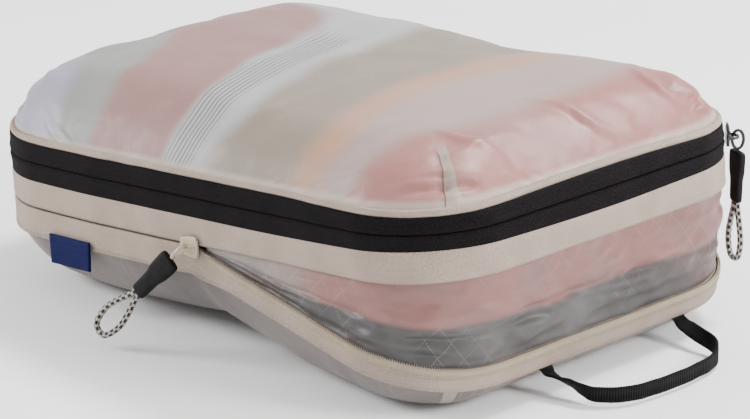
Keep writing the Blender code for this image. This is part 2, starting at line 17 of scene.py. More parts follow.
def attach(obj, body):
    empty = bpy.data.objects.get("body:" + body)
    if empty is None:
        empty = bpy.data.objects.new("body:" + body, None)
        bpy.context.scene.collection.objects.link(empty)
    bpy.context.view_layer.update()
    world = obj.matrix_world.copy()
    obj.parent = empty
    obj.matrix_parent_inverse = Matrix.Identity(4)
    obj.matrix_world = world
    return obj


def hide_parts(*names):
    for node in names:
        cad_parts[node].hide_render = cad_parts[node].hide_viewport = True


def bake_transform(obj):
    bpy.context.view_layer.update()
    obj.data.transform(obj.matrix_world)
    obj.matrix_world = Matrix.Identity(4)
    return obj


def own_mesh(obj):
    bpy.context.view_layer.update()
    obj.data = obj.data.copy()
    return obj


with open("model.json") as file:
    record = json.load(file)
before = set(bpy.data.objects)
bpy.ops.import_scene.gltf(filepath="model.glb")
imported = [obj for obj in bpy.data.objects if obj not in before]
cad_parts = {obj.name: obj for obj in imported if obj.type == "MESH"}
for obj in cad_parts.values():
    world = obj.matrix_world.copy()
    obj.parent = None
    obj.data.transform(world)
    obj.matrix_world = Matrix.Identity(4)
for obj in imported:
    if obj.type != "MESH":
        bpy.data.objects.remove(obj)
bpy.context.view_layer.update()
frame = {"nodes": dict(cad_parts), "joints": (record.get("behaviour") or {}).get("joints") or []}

JOINTS = {joint["name"]: joint for joint in frame["joints"]}

# ---- Driving dimensions, the same as the CAD's, in metres and radians ----
LENGTH, WIDTH, CORNER = 0.36, 0.26, 0.055
FOLD_X, FOLD_Z = 0.004, -0.026
FOLD_OPEN = math.radians(16)
TAPE_EDGE = 0.0100
BAND_BOTTOM = -0.0190
LOWER_TAPE_BOTTOM = -0.0420
BINDING_RADIUS = 0.0022
GAP = 0.0003
LEFT_LIFT, LEFT_LIFT_FROM, LEFT_LIFT_OVER = 0.0034, -0.060, 0.120
CORNER_NARROWING = 0.0020  # how much less of each main zip tape shows round the right-hand corners
CORNER_MIDDLE, CORNER_FADE = 0.016, 0.110  # where that corner's middle is, and how far the effect reaches
EDGE_HEIGHT = 0.0045  # the gusset is tucked behind this much of each compression tape
OPEN_DRAW = 0.0006  # the upper tape draws back this far from its teeth where the compression zip is open
OPEN_RISE = 0.0032  # the lower tape's bottom edge is this much higher there
OPEN_FROM, OPEN_OVER = 0.004, 0.030  # the zip parts this far right of the fold, over this much
SLIDER_RUN = 0.112  # how far the compression slider runs as the fold closes
WIRE = 0.0009
CORD_RADIUS = 0.00135
CORD_PLUMP = 1.25  # the cord reads thicker than its measured core, from its loose outer strands
FLECK_PITCH = 0.0040  # from one dark fleck to the next along the cord

# The lid's skin: a steep soft side, a crown, and a fuller left end.
LID_LOW = 0.0135
LID_SIDE, LID_SIDE_REACH = 0.0205, 0.0120
LID_CROWN = 0.0116
LID_LEFT, LID_LEFT_REACH = 0.0100, 0.014
LID_LEFT_FROM, LID_LEFT_OVER = 0.060, 0.220

# The base's underside.
LEFT_ROUND, RIGHT_ROUND = 0.050, 0.036
KINK_HEIGHT = 0.0120
LEFT_REST, RIGHT_REST = -0.100, 0.085
SOFT_EDGE, SIDE_BULGE = 0.60, 0.0016
FOLD_SPREAD = 0.012  # the cloth bends over this much on each side of the fold

SKIN = 0.0005
TAPE = 0.0006
COLUMN = 0.0030  # spacing of the columns along the outline
COIL_PITCH = 0.00135

# ---- The ring's frame, from the joints ----
U = Vector(JOINTS["compression_slide"]["axis"]).normalized()
W = Vector(JOINTS["main_zip_travel"]["axis"]).normalized()
FOLD_POINT = Vector(JOINTS["compression_fold"]["pos_m"])
RING_ORIGIN = FOLD_POINT - U * FOLD_X - W * FOLD_Z
FOLD_TURN = Matrix.Rotation(FOLD_OPEN, 3, "Y")


def ring(x, y, z):
    """A point in the ring's frame. The ring bends up a little towards its left end."""
    lift = LEFT_LIFT * (max(LEFT_LIFT_FROM - x, 0) / LEFT_LIFT_OVER) ** 2
    return RING_ORIGIN + U * x + Vector((0, y, 0)) + W * (z + lift)


def fold(x, y, z):
    return FOLD_POINT + FOLD_TURN @ (ring(x, y, z) - FOLD_POINT)


def smooth(share):
    share = min(max(share, 0.0), 1.0)
    return share * share * (3 - 2 * share)


def base(x, y, z):
    """A point of the base: on the ring left of the fold, hanging open right of it."""
    w = smooth((x - FOLD_X + FOLD_SPREAD) / (2 * FOLD_SPREAD))
    return ring(x, y, z).lerp(fold(x, y, z), w)


# ---- The outline, by arc length from the middle of the rear side, counter-clockwise from above ----
STRAIGHT_X, STRAIGHT_Y = LENGTH / 2 - CORNER, WIDTH / 2 - CORNER
ARC = CORNER * math.pi / 2
PERIMETER = 4 * (STRAIGHT_X + STRAIGHT_Y + ARC)
FRONT_MIDDLE = PERIMETER / 2
LEFT_MIDDLE = STRAIGHT_X + ARC + STRAIGHT_Y
RIGHT_MIDDLE = FRONT_MIDDLE + LEFT_MIDDLE
DART_SHARE = 0.62  # a dart is this far round its corner, from the long side
CORNERS = [
    STRAIGHT_X + ARC * DART_SHARE,
    FRONT_MIDDLE - STRAIGHT_X - ARC * DART_SHARE,
    FRONT_MIDDLE + STRAIGHT_X + ARC * DART_SHARE,
    PERIMETER - STRAIGHT_X - ARC * DART_SHARE,
]


def outline(s):
    """x, y and the outward normal at arc length s. The four quarters mirror one another."""
    quarter, along = divmod(s % PERIMETER, LEFT_MIDDLE)
    if quarter in (1, 3):
        along = LEFT_MIDDLE - along
    turn = min(max(along - STRAIGHT_X, 0), ARC) / CORNER
    side_x = -1 if quarter in (0, 1) else 1
    side_y = 1 if quarter in (0, 3) else -1
    nx, ny = side_x * math.sin(turn), side_y * math.cos(turn)
    x = side_x * min(along, STRAIGHT_X) + CORNER * nx
    y = side_y * (STRAIGHT_Y - max(along - STRAIGHT_X - ARC, 0)) + CORNER * ny
    return x, y, nx, ny


def front_at(x):
    return FRONT_MIDDLE + x


def rear_at(x):
    return PERIMETER - x


def stations(start, end, spacing=COLUMN):
    """Arc lengths from start to end, both included, about a spacing apart."""
    count = max(round((end - start) / spacing), 1)
    return [start + (end - start) * i / count for i in range(count + 1)]


ALL_ROUND = stations(0, PERIMETER)[:-1]
ZIP_ROUND = stations(STRAIGHT_X, PERIMETER - STRAIGHT_X)


def wander(x, y, z, scale, seed=0.0):
    """Smooth noise from -1 to 1 at a place in the ring's frame, with features of about that scale."""
    return noise.noise(Vector((x / scale + seed, y / scale - seed, z / scale + 2 * seed)))


def sway(x, y, z):
    """How far the seams wander in from the outline: never outwards, so that the sliders run clear."""
    return -0.0007 * (1 + wander(x, y, 0.5 * z, 0.055, 3.1))


def seam_point(place, s, out, z):
    """The point at arc length s, this far out from where the seams wander."""
    x, y, nx, ny = outline(s)
    push = out + sway(x, y, z)
    return place(x + nx * push, y + ny * push, z)


def corner_share(x, y):
    """1 in the middle of a right-hand corner, fading to 0 along the sides."""
    off = math.hypot(x - LENGTH / 2 + CORNER_MIDDLE, abs(y) - WIDTH / 2 + CORNER_MIDDLE)
    return smooth(1 - off / CORNER_FADE)


def opening(x):
    """0 where the compression zip is closed, 1 where it is open."""
    return smooth((x - FOLD_X - OPEN_FROM) / OPEN_OVER)


def zip_place(x, y, z):
    return ring(x, y, z * (1 - CORNER_NARROWING / TAPE_EDGE * corner_share(x, y)))


def band_under_zip(x, y, z):
    """The mid band: it rises over the zip tape round the corners, and draws back from the open teeth."""
    high = smooth((z - BAND_BOTTOM) / (-TAPE_EDGE - BAND_BOTTOM))
    low = smooth(1 - (z - FOLD_Z) / EDGE_HEIGHT)
    return ring(x, y, z + CORNER_NARROWING * high * corner_share(x, y) + OPEN_DRAW * low * opening(x))


# ---- Mesh helpers ----
def add_object(name, mesh):
    item = bpy.data.objects.new(name, mesh)
    bpy.context.scene.collection.objects.link(item)
    return item


def grid_mesh(name, rows, closed=False, uvs=None):
    """A mesh from rows[column][row]. uvs is {map: function(column, row, the face's first corner)}."""
    count, height = len(rows), len(rows[0])
    points = [p for row in rows for p in row]
    faces = []
    corners = []
    for i in range(count if closed else count - 1):
        k = (i + 1) % count
        for j in range(height - 1):
            faces.append((i * height + j, k * height + j, k * height + j + 1, i * height + j + 1))
            corners.append(((i, j), (i + 1, j), (i + 1, j + 1), (i, j + 1)))
    mesh = bpy.data.meshes.new(name)
    mesh.from_pydata([tuple(p) for p in points], [], faces)
    for label, mapping in (uvs or {}).items():
        layer = mesh.uv_layers.new(name=label)
        flat = []
        for four in corners:
            for i, j in four:
                flat.extend(mapping(i, j, four[0]))
        layer.data.foreach_set("uv", flat)
    mesh.shade_smooth()
    return mesh


def applied(item):
    """The piece with its modifiers made real."""
    depsgraph = bpy.context.evaluated_depsgraph_get()
    mesh = bpy.data.meshes.new_from_object(item.evaluated_get(depsgraph), depsgraph=depsgraph)
    mesh.name = item.name
    item.modifiers.clear()
    item.data = mesh
    return item


def add_finer(item, levels):
    finer = item.modifiers.new("finer", "SUBSURF")
    finer.levels = finer.render_levels = levels
    finer.boundary_smooth = "PRESERVE_CORNERS"


def thicken(item, thickness, subdivide=0):
    if subdivide:
        add_finer(item, subdivide)
    solid = item.modifiers.new("thickness", "SOLIDIFY")
    solid.thickness = thickness
    solid.offset = -1.0
    solid.use_even_offset = True
    return applied(item)


def closed_form(name, rows, cloth, merge, closed=False):
    """A piece from rows of closed loops, with its seam merged and its ends filled."""
    mesh = grid_mesh(name, rows, closed, {"cloth": cloth})
    shape = bmesh.new()
    shape.from_mesh(mesh)
    bmesh.ops.remove_doubles(shape, verts=shape.verts, dist=merge)
    if not closed:
        bmesh.ops.holes_fill(shape, edges=[e for e in shape.edges if e.is_boundary])
    bmesh.ops.recalc_face_normals(shape, faces=shape.faces)
    shape.to_mesh(mesh)
    shape.free()
    mesh.shade_smooth()
    return add_object(name, mesh)


def dress(item, material, body=None, nodes=()):
    """Material, body and the CAD nodes that the piece stands for."""
    item.data.materials.clear()
    item.data.materials.append(M[material])
    if body:
        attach(item, body)
    if nodes:
        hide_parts(*nodes)
    return item


def both_sides(*parts):
    """The names of CAD parts that are split at the fold."""
    return [f"{part}_{side}" for part in parts for side in ("left", "right")]


def profile(*points, foot=0.0):
    """A strip's section, given in millimetres: how far out, and how high above the foot."""
    return [(out / 1000, foot + height / 1000) for out, height in points]


def run_lengths(points):
    """The length along the points, from the first to each."""
    lengths = [0.0]
    for a, b in zip(points, points[1:]):
        lengths.append(lengths[-1] + math.dist(a, b))
    return lengths


def strip(name, places, section, place, thickness=TAPE, closed=False, ripple=0.0):
    """A band of cloth along the outline. section is (outward offset, height), from its lower edge up."""
    rows = []
    for s in places:
        x, y, nx, ny = outline(s)
        row = []
        for out, z in section:
            push = out + sway(x, y, z) + ripple * wander(x, y, z * 2, 0.012, 7.7)
            row.append(place(x + nx * push, y + ny * push, z))
        rows.append(row)
    lengths = run_lengths(section)

    def cloth(i, j, face):
        return (places[i] if i < len(places) else PERIMETER), lengths[j]

    return thicken(add_object(name, grid_mesh(name, rows, closed, {"cloth": cloth})), thickness)


def tube(name, points, radius, sides=8, closed=False, squeeze=None):
    """A round tube along the points, kept from twisting. squeeze(i, angle) scales the radius."""
    count = len(points)
    if closed:
        ways = [(points[(i + 1) % count] - points[i - 1]).normalized() for i in range(count)]
    else:
        ways = [(points[min(i + 1, count - 1)] - points[max(i - 1, 0)]).normalized() for i in range(count)]
    side = ways[0].orthogonal().normalized()
    rows = []
    for i, way in enumerate(ways):
        side = (side - way * side.dot(way)).normalized()
        across = way.cross(side)
        row = []
        for k in range(sides + 1):
            angle = 2 * math.pi * k / sides
            r = radius * (squeeze(i, angle) if squeeze else 1.0)
            row.append(points[i] + side * r * math.cos(angle) + across * r * math.sin(angle))
        rows.append(row)
    lengths = run_lengths([*points, points[0]])

    def cloth(i, j, face):
        return lengths[i], 2 * math.pi * radius * j / sides

    return closed_form(name, rows, cloth, radius * 0.02, closed)


def smooth_curve(knots, per_span):
    """Points on a smooth curve through the knots (Catmull-Rom)."""
    ends = [knots[0] * 2 - knots[1], *knots, knots[-1] * 2 - knots[-2]]
    points = []
    for i in range(1, len(ends) - 2):
        p0, p1, p2, p3 = ends[i - 1 : i + 3]
        for k in range(per_span):
            t = k / per_span
            even = p1 * 2 + (p2 - p0) * t
            square = (p0 * 2 - p1 * 5 + p2 * 4 - p3) * t**2
            cube = (p1 * 3 - p0 - p2 * 3 + p3) * t**3
            points.append((even + square + cube) * 0.5)
    points.append(knots[-1])
    return points


# ---- Materials ----
M = {}  # the finished materials, by name


class Value:
    """A socket's value in a material. Its sums, products, ranges and patterns are made as nodes."""

    def __init__(self, material, socket):
        self.material, self.socket = material, socket

    def calc(self, operation, b=0.0, c=0.0):
        return self.material.node("ShaderNodeMath", {0: self, 1: b, 2: c}, operation=operation)

    def __add__(self, other):
        return self.calc("ADD", other)

    def __sub__(self, other):
        return self.calc("SUBTRACT", other)

    def __mul__(self, other):
        return self.calc("MULTIPLY", other)

    def stretch(self, low, high, to_low=0.0, to_high=1.0, curve="SMOOTHSTEP"):
        """The range from low to high, made to run from to_low to to_high."""
        inputs = {0: self, 1: low, 2: high, 3: to_low, 4: to_high}
        return self.material.node("ShaderNodeMapRange", inputs, interpolation_type=curve)

    def noise(self, scale, detail=2.0, roughness=0.5, distortion=0.0):
        inputs = {"Vector": self, "Scale": scale, "Detail": detail, "Roughness": roughness}
        inputs["Distortion"] = distortion
        return self.material.node("ShaderNodeTexNoise", inputs, "Fac")

    def split(self):
        """The first two numbers of a place."""
        x = self.material.node("ShaderNodeSeparateXYZ", {0: self}, "X")
        return x, Value(self.material, x.socket.node.outputs["Y"])

    def wave(self, pitch):
        return (self * (2 * math.pi / pitch)).calc("SINE")

    def line(self, pitch, width):
        """1 on thin lines a pitch apart, 0 between them."""
        off = self.calc("WRAP", pitch / 2, -pitch / 2).calc("ABSOLUTE")
        return off.stretch(width * 1.4, width * 0.5)


class Material:
    """A node material under construction."""

    def __init__(self, name, roughness=0.6, sheen=0.0, sheen_roughness=0.4, specular=0.5, coat=0.0):
        self.name = name
        self.made = bpy.data.materials.new(name)
        self.made.use_nodes = True
        self.tree = self.made.node_tree
        self.shader = self.tree.nodes["Principled BSDF"].inputs
        self.shader["Roughness"].default_value = roughness
        self.shader["Sheen Weight"].default_value = sheen
        self.shader["Sheen Roughness"].default_value = sheen_roughness
        self.shader["Specular IOR Level"].default_value = specular
        self.shader["Coat Weight"].default_value = coat

    def feed(self, socket, value):
        """Set a socket to a number, a colour or a Value."""
        if isinstance(value, Value):
            self.tree.links.new(value.socket, socket)
        elif isinstance(value, tuple) and len(value) == 3 and len(socket.default_value) == 4:
            socket.default_value = (*value, 1.0)
        else:
            socket.default_value = value

    def node(self, kind, inputs=(), out=0, **settings):
        made = self.tree.nodes.new(kind)
        for key, value in settings.items():
            setattr(made, key, value)
        for key, value in dict(inputs).items():
            self.feed(made.inputs[key], value)
        return Value(self, made.outputs[out])

    def uv(self, label):
        return self.node("ShaderNodeUVMap", uv_map=label)

    def place(self):
        return self.node("ShaderNodeTexCoord", out="Object")

    def mix(self, share, a, b):
        """Colour a, with a share of colour b. The node's colour sockets are 6 and 7, and 2 comes out."""
        return self.node("ShaderNodeMix", {0: share, 6: a, 7: b}, 2, data_type="RGBA")

    def ramp(self, share, stops):
        colour = self.node("ShaderNodeValToRGB", {0: share})
        ramp = colour.socket.node.color_ramp
        ramp.interpolation = "EASE"
        while len(ramp.elements) < len(stops):
            ramp.elements.new(0.5)
        for element, (at, tint) in zip(ramp.elements, stops):
            element.position = at
            element.color = (*tint, 1.0)
        return colour

    def finish(self, colour, height=None, depth=0.0002, strength=0.6, rough=None):
        self.feed(self.shader["Base Color"], colour)
        if rough is not None:
            self.feed(self.shader["Roughness"], rough)
        if height is not None:
            inputs = {"Height": height, "Distance": depth, "Strength": strength}
            self.feed(self.shader["Normal"], self.node("ShaderNodeBump", inputs))
        M[self.name] = self.made


# Linear colours.
PINK = (0.245, 0.130, 0.120)
RIGHT_PINK = (0.300, 0.122, 0.108)
DEEP_PINK = (0.155, 0.076, 0.068)
GREEN_GREY = (0.205, 0.218, 0.204)
LAVENDER = (0.262, 0.256, 0.318)
PALE = (0.335, 0.335, 0.346)
BEIGE = (0.212, 0.173, 0.134)
PEACH = (0.365, 0.208, 0.138)
LILAC = (0.315, 0.238, 0.218)
# Grey violet of the base and of the gusset's lower panel, darkened with painted shade of the underside and
# the tucked fold.
SHADED_GREY_VIOLET = (0.056, 0.052, 0.052)
PALE_BEIGE = (0.235, 0.208, 0.190)
GUSSET_PINK = (0.215, 0.100, 0.090)
PALE_VIOLET = (0.140, 0.128, 0.128)
CREAM = (0.225, 0.176, 0.142)
CREAM_LIGHT = (0.420, 0.336, 0.280)
SEAM_PALE = (0.350, 0.300, 0.255)
BAND_RANGE = (-0.150, 0.210)  # the lid's colour bands run over these places
BAND_LEAN, BAND_LEAN_FADE = 0.17, 0.105  # how much they lean, and how fast that fades to the right
RIPSTOP_PITCH, RIPSTOP_LINE = 0.0145, 0.00036
SEAM_HEIGHT, SEAM_SLOPE = 0.0150, 0.26  # the lid's seam allowance narrows by the slope above this height


def band_stops():
    """The lid's colour bands, from its left end to its right, by place in metres."""
    low, high = BAND_RANGE
    places = (
        (-0.158, GREEN_GREY), (-0.142, LAVENDER), (-0.112, LAVENDER), (-0.101, GREEN_GREY),
        (-0.078, GREEN_GREY), (-0.068, PINK), (-0.024, PINK), (-0.014, PALE),
        (0.012, PALE), (0.026, BEIGE), (0.066, BEIGE), (0.084, PEACH),
        (0.104, LILAC), (0.128, LILAC), (0.150, RIGHT_PINK), (0.200, RIGHT_PINK),
    )
    return [((at - low) / (high - low), colour) for at, colour in places]


def finish_ripstop(m, cloth, colour, amount, drop, scale, distortion, rough):
    """The pale dotted diamonds of the ripstop over the colour, then its wrinkles and weave."""
    u, v = cloth.split()
    one_way, other_way = (w.line(RIPSTOP_PITCH, RIPSTOP_LINE) for w in (u + v, u - v))
    dots = u.calc("PINGPONG", 0.0005).stretch(0.0001, 0.0003)
    patches = cloth.noise(18.0).stretch(0.40, 0.62)
    shown = one_way.calc("MAXIMUM", other_way) * dots * (patches * amount)
    place = m.node("ShaderNodeVectorMath", {0: m.place(), 1: (1.0, 1.0, drop)}, operation="MULTIPLY")
    wrinkles = place.noise(scale, 4.0, 0.55, distortion)
    weave = (u.wave(0.0007) * v.wave(0.0007)).calc("MULTIPLY_ADD", 0.5, 0.5)
    height = wrinkles * 0.9 + weave * 0.06 + shown * 0.1
    rough = cloth.noise(40.0).stretch(0.3, 0.7, *rough)
    m.finish(m.mix(shown, colour, (0.42, 0.37, 0.35)), height, depth=0.0010, strength=0.55, rough=rough)


def make_ripstop_top():
    m = Material("ripstop_top", roughness=0.42, sheen=0.06, sheen_roughness=0.35, specular=0.35)
    cloth, plan = m.uv("cloth"), m.uv("plan")
    across, along = plan.split()
    drift = plan.noise(16.0, 1.0).calc("MULTIPLY_ADD", 0.020, -0.010)
    colour = m.ramp((across + drift).stretch(*BAND_RANGE, curve="LINEAR"), band_stops())
    # Fine ribs of a knit show through the pale band.
    ribs = (across + drift * 0.35).line(0.0030, 0.0007)
    inside = across.stretch(-0.018, -0.012) * across.stretch(0.010, 0.003) * along.stretch(0.050, 0.010)
    colour = m.mix(ribs * inside * 0.85, colour, (0.110, 0.104, 0.114))
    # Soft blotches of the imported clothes.
    colour = m.mix(plan.noise(30.0).stretch(0.40, 0.80, 0.0, 0.22), colour, LILAC)
    colour = m.mix(plan.noise(9.0).stretch(0.52, 0.80, 0.0, 0.20), colour, GREEN_GREY)
    # The seam allowance shows as a pale strip beside each dart, and above the binding.
    side, height = m.uv("dart").split()
    narrowing = (height - SEAM_HEIGHT).calc("MULTIPLY_ADD", SEAM_SLOPE, side)
    seam = side.stretch(0.0002, 0.0008) * narrowing.stretch(0.0102, 0.0090) * height.stretch(0.0365, 0.0340)
    colour = m.mix(seam * 0.75, colour, SEAM_PALE)
    colour = m.mix(height.stretch(0.0180, 0.0142) * 0.85, colour, CREAM_LIGHT)
    # A thin dark line runs down the middle of each dart, up to its end.
    dart_line = side.calc("ABSOLUTE").stretch(0.0007, 0.0002) * height.stretch(0.0350, 0.0330)
    colour = m.mix(dart_line * 0.8, colour, (0.10, 0.07, 0.06))
    finish_ripstop(m, cloth, colour, 0.11, 1.5, 55.0, 0.6, (0.36, 0.50))


def make_ripstop_base():
    m = Material("ripstop_base", roughness=0.45, sheen=0.06, sheen_roughness=0.35, specular=0.35)
    cloth = m.uv("cloth")
    warm, along = m.uv("plan").split()
    # Grey below, pale and pink above. The grey is partly the cloth's own colour and partly painted shade.
    colour = m.mix(warm.stretch(0.0, 1.0), SHADED_GREY_VIOLET, m.mix(along, PALE_BEIGE, GUSSET_PINK))
    colour = m.mix(cloth.noise(22.0).stretch(0.45, 0.75, 0.0, 0.5), colour, PALE_VIOLET)
    colour = m.mix(cloth.noise(9.0).stretch(0.50, 0.75, 0.0, 0.4), colour, DEEP_PINK)
    side, _ = m.uv("dart").split()
    seam = side.stretch(0.0002, 0.0008) * side.stretch(0.0085, 0.0075)
    colour = m.mix(seam * 0.75, colour, SEAM_PALE)
    finish_ripstop(m, cloth, colour, 0.26, 1.8, 60.0, 0.8, (0.38, 0.52))


def make_woven(name, colour, dark, roughness, pitch, depth, sheen=0.05, band=0.0016):
    """A woven tape or band, in zigzag twill with painted shade in its grooves, and with slight wear and
    unevenness.
    """
    m = Material(name, roughness=roughness, sheen=sheen, specular=0.12)
    cloth = m.uv("cloth")
    u, v = cloth.split()
    twill = (u + v.calc("PINGPONG", band)).wave(pitch).calc("MULTIPLY_ADD", 0.5, 0.5)
    grain = cloth.noise(900.0, 1.0)
    shade = m.mix(cloth.noise(45.0, 3.0).stretch(0.35, 0.70) * 0.35, colour, dark)
    # The twill's low grooves are painted darker: painted shade in the weave.
    shade = m.mix((twill - 1.0) * -0.60, shade, dark)
    shade = m.mix(grain.stretch(0.42, 0.66, 0.0, 0.45), shade, dark)
    rough = grain.stretch(0.3, 0.7, roughness - 0.08, min(roughness + 0.08, 1.0))
    m.finish(shade, twill + grain * 0.6, depth=depth, strength=0.7, rough=rough)


def make_moulded(name, colour, dark, roughness, grain_scale, depth, coat=0.0, specular=0.40):
    """Moulded or painted surface with a fine grain and slightly worn patches."""
    m = Material(name, roughness=roughness, specular=specular, coat=coat)
    patches = m.place().noise(220.0, 3.0).stretch(0.40, 0.70)
    grain = m.place().noise(grain_scale, 3.0)
    rough = grain.stretch(0.3, 0.7, roughness - 0.07, roughness + 0.07)
    m.finish(m.mix(patches, colour, dark), grain, depth=depth, strength=0.4, rough=rough)


def make_cord():
    m = Material("cord", roughness=0.75, sheen=0.3, specular=0.3)
    along, around = m.uv("cloth").split()
    turn = 2 * math.pi * CORD_RADIUS
    # Dark flecks in staggered rows along the cord.
    lane = around * (4 / turn)
    stagger = lane.calc("FLOOR").calc("MODULO", 2.0) * (FLECK_PITCH / 2)
    at = (along + stagger).calc("WRAP", FLECK_PITCH / 2, -FLECK_PITCH / 2).calc("ABSOLUTE")
    beside = (lane.calc("FRACT") - 0.5).calc("ABSOLUTE")
    fleck = at.stretch(FLECK_PITCH * 0.31, FLECK_PITCH * 0.27) * beside.stretch(0.44, 0.38)
    colour = m.mix(fleck, (0.45, 0.41, 0.36), (0.0060, 0.0050, 0.0050))
    lean = around * (0.0026 / turn)
    strands = (along + lean).wave(0.0011).calc("MAXIMUM", (along - lean).wave(0.0011))
    m.finish(colour, strands, depth=0.00025, strength=0.8)


def make_webbing():
    m = Material("black_webbing", roughness=0.80, specular=0.12)
    along, across = m.uv("cloth").split()
    height = along.wave(0.0014) + across.wave(0.0011) * 0.6
    # The weave's low grooves are painted darker than its raised yarns: painted shade.
    share = height.stretch(-1.2, 1.4, 0.0, 0.8)
    m.finish(m.mix(share, (0.0010, 0.0009, 0.0010), (0.0120, 0.0108, 0.0125)), height, depth=0.0003)


def make_floor():
    m = Material("floor", roughness=0.9, specular=0.1)
    shade = m.place().noise(3.0).stretch(0.3, 0.7)
    m.finish(m.mix(shade, (0.90, 0.90, 0.90), (0.93, 0.93, 0.93)))


def make_materials():
    make_ripstop_top()
    make_ripstop_base()
    make_cord()
    make_webbing()
    make_floor()
    # Colour, darker colour, roughness, pitch and depth of the twill.
    make_woven("cream_fabric", CREAM_LIGHT, CREAM, 0.72, 0.0014, 0.00025)
    make_woven("cream_tape", CREAM_LIGHT, CREAM, 0.75, 0.0016, 0.00030)
    make_woven("black_tape", (0.0085, 0.0066, 0.0078), (0.0005, 0.0004, 0.0005), 0.92, 0.0017, 0.0004, 0.0)
    make_woven("coil_tape", (0.400, 0.335, 0.245), (0.215, 0.175, 0.120), 0.75, 0.0014, 0.0003)
    make_woven("label", (0.0020, 0.0048, 0.056), (0.0012, 0.0028, 0.034), 0.70, 0.0009, 0.0001, 0.0, 0.002)
    # Colour, darker colour, roughness, scale and depth of the grain.
    black, dark = (0.0040, 0.0035, 0.0038), (0.0020, 0.0018, 0.0020)
    make_moulded("black_coil", black, dark, 0.55, 1500.0, 0.00005, specular=0.15)
    black, dark = (0.0060, 0.0048, 0.0054), (0.0030, 0.0026, 0.0029)
    make_moulded("black_pull", black, dark, 0.62, 1800.0, 0.00008, specular=0.14)
    black, dark = (0.0090, 0.0082, 0.0088), (0.0050, 0.0046, 0.0050)
    make_moulded("black_slider", black, dark, 0.36, 900.0, 0.00005, 0.2)
    make_moulded("cream_coil", (0.40, 0.320, 0.240), (0.30, 0.235, 0.170), 0.50, 1500.0, 0.00005)
    make_moulded("cream_slider", (0.47, 0.390, 0.280), (0.38, 0.310, 0.215), 0.42, 900.0, 0.00006, 0.15)


# ---- Skins on a square grid, whose diagonals run out to the four darts ----
GRID_X, GRID_Y = 128, 88
RIM_SHARE = 0.34  # this much of the way in, the grid's lines still run square to the rim
INSET_SCALE = 0.150  # and are this long there, from the rim to the middle
DART_LEAN = 0.24
DART_HALF, DART_END = 0.0022, 0.036  # a dart's half width, and how far in it ends
LID_INSIDE = -0.0032  # the lid's skin starts this far inside the outline
LID_SPREAD = 1.55  # how much closer the grid's lines are towards the lid's rim
RIM_FADE = 0.012  # the lid follows its seam over about this much
LEANING_ON = [0.0, round(CORNERS[2] - CORNERS[0], 6)]  # the corners where the outline leaves a long side
NO_DART = 0.05  # the dart map's value where no dart shows

# A point of a square skin: its arc length, its share of the way out, its place on the outline or in
# plan with the normal there, the distance in, the distance along the rim from the dart, and its height.
Spot = namedtuple("Spot", "point s share x y nx ny inset away height")


def rim_place(u, v):
    """Arc length and share of the way out, for a point of the square from -1 to 1."""
    share = max(abs(u), abs(v))
    if share < 1e-9:
        return 0.0, 0.0
    u, v = u / share, v / share
    half_long, half_short = STRAIGHT_X + ARC * DART_SHARE, STRAIGHT_Y + ARC * (1 - DART_SHARE)
    if v > 1 - 1e-9:
        return -u * half_long, share
    if v < -1 + 1e-9:
        return FRONT_MIDDLE + u * half_long, share
    if u < 0:
        return LEFT_MIDDLE - v * half_short, share
    return RIGHT_MIDDLE + v * half_short, share


def inset_at(x, y):
    """Distance in from the outline."""
    qx, qy = abs(x) - STRAIGHT_X, abs(y) - STRAIGHT_Y
    return CORNER - math.hypot(max(qx, 0), max(qy, 0)) - min(max(qx, qy), 0)


def nearest_dart(s):
    offs = [(s - dart + PERIMETER / 2) % PERIMETER - PERIMETER / 2 for dart in CORNERS]
    return min(offs, key=abs)


def dart_lean(s):
    """How far a grid line near a dart leans along the rim, for each step in: towards the short side."""
    off = nearest_dart(s)
    from_long_side = 1 if round((s - off - CORNERS[0]) % PERIMETER, 6) in LEANING_ON else -1
    return DART_LEAN * from_long_side * math.exp(-((off / 0.040) ** 2))


def ridge(x, y, points, width):
    """1 on a line through the points, fading to 0 over the width and towards the line's ends."""
    best = 0.0
    for k, (a, b) in enumerate(zip(points, points[1:])):
        ax, ay = b[0] - a[0], b[1] - a[1]
        t = min(max(((x - a[0]) * ax + (y - a[1]) * ay) / (ax * ax + ay * ay), 0), 1)
        off = math.hypot(x - a[0] - ax * t, y - a[1] - ay * t)
        along = (k + t) / (len(points) - 1)
        best = max(best, math.exp(-((off / width) ** 2)) * math.sin(math.pi * min(0.12 + 0.76 * along, 1)))
    return best


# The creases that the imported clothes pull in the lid, in plan: (points, half width, height).
LID_CREASES = (
    (((0.139, -0.073), (0.150, -0.070), (0.158, -0.064), (0.170, -0.058)), 0.0036, 0.0026),
    (
        ((0.130, 0.000), (0.153, 0.009), (0.163, 0.011), (0.169, 0.014), (0.173, 0.021), (0.176, 0.035)),
        0.0034, 0.0038,
    ),
    (((0.119, 0.095), (0.145, 0.077), (0.161, 0.073), (0.167, 0.077), (0.170, 0.088)), 0.0036, 0.0042),
    (((0.130, 0.092), (0.146, 0.089), (0.160, 0.087)), 0.0070, -0.0034),
    (((0.120, -0.062), (0.104, -0.088), (0.092, -0.112)), 0.0050, 0.0016),
    (((0.150, -0.045), (0.158, -0.020), (0.160, 0.000)), 0.0080, -0.0020),
    (((0.150, 0.036), (0.162, 0.045), (0.168, 0.060)), 0.0080, -0.0022),
    (((-0.120, -0.100), (-0.140, -0.078), (-0.150, -0.040)), 0.0060, 0.0018),
    (((-0.100, -0.118), (-0.124, -0.080), (-0.140, -0.010)), 0.0080, -0.0016),
    (((0.020, -0.116), (0.034, -0.080), (0.040, -0.040)), 0.0070, 0.0012),
)


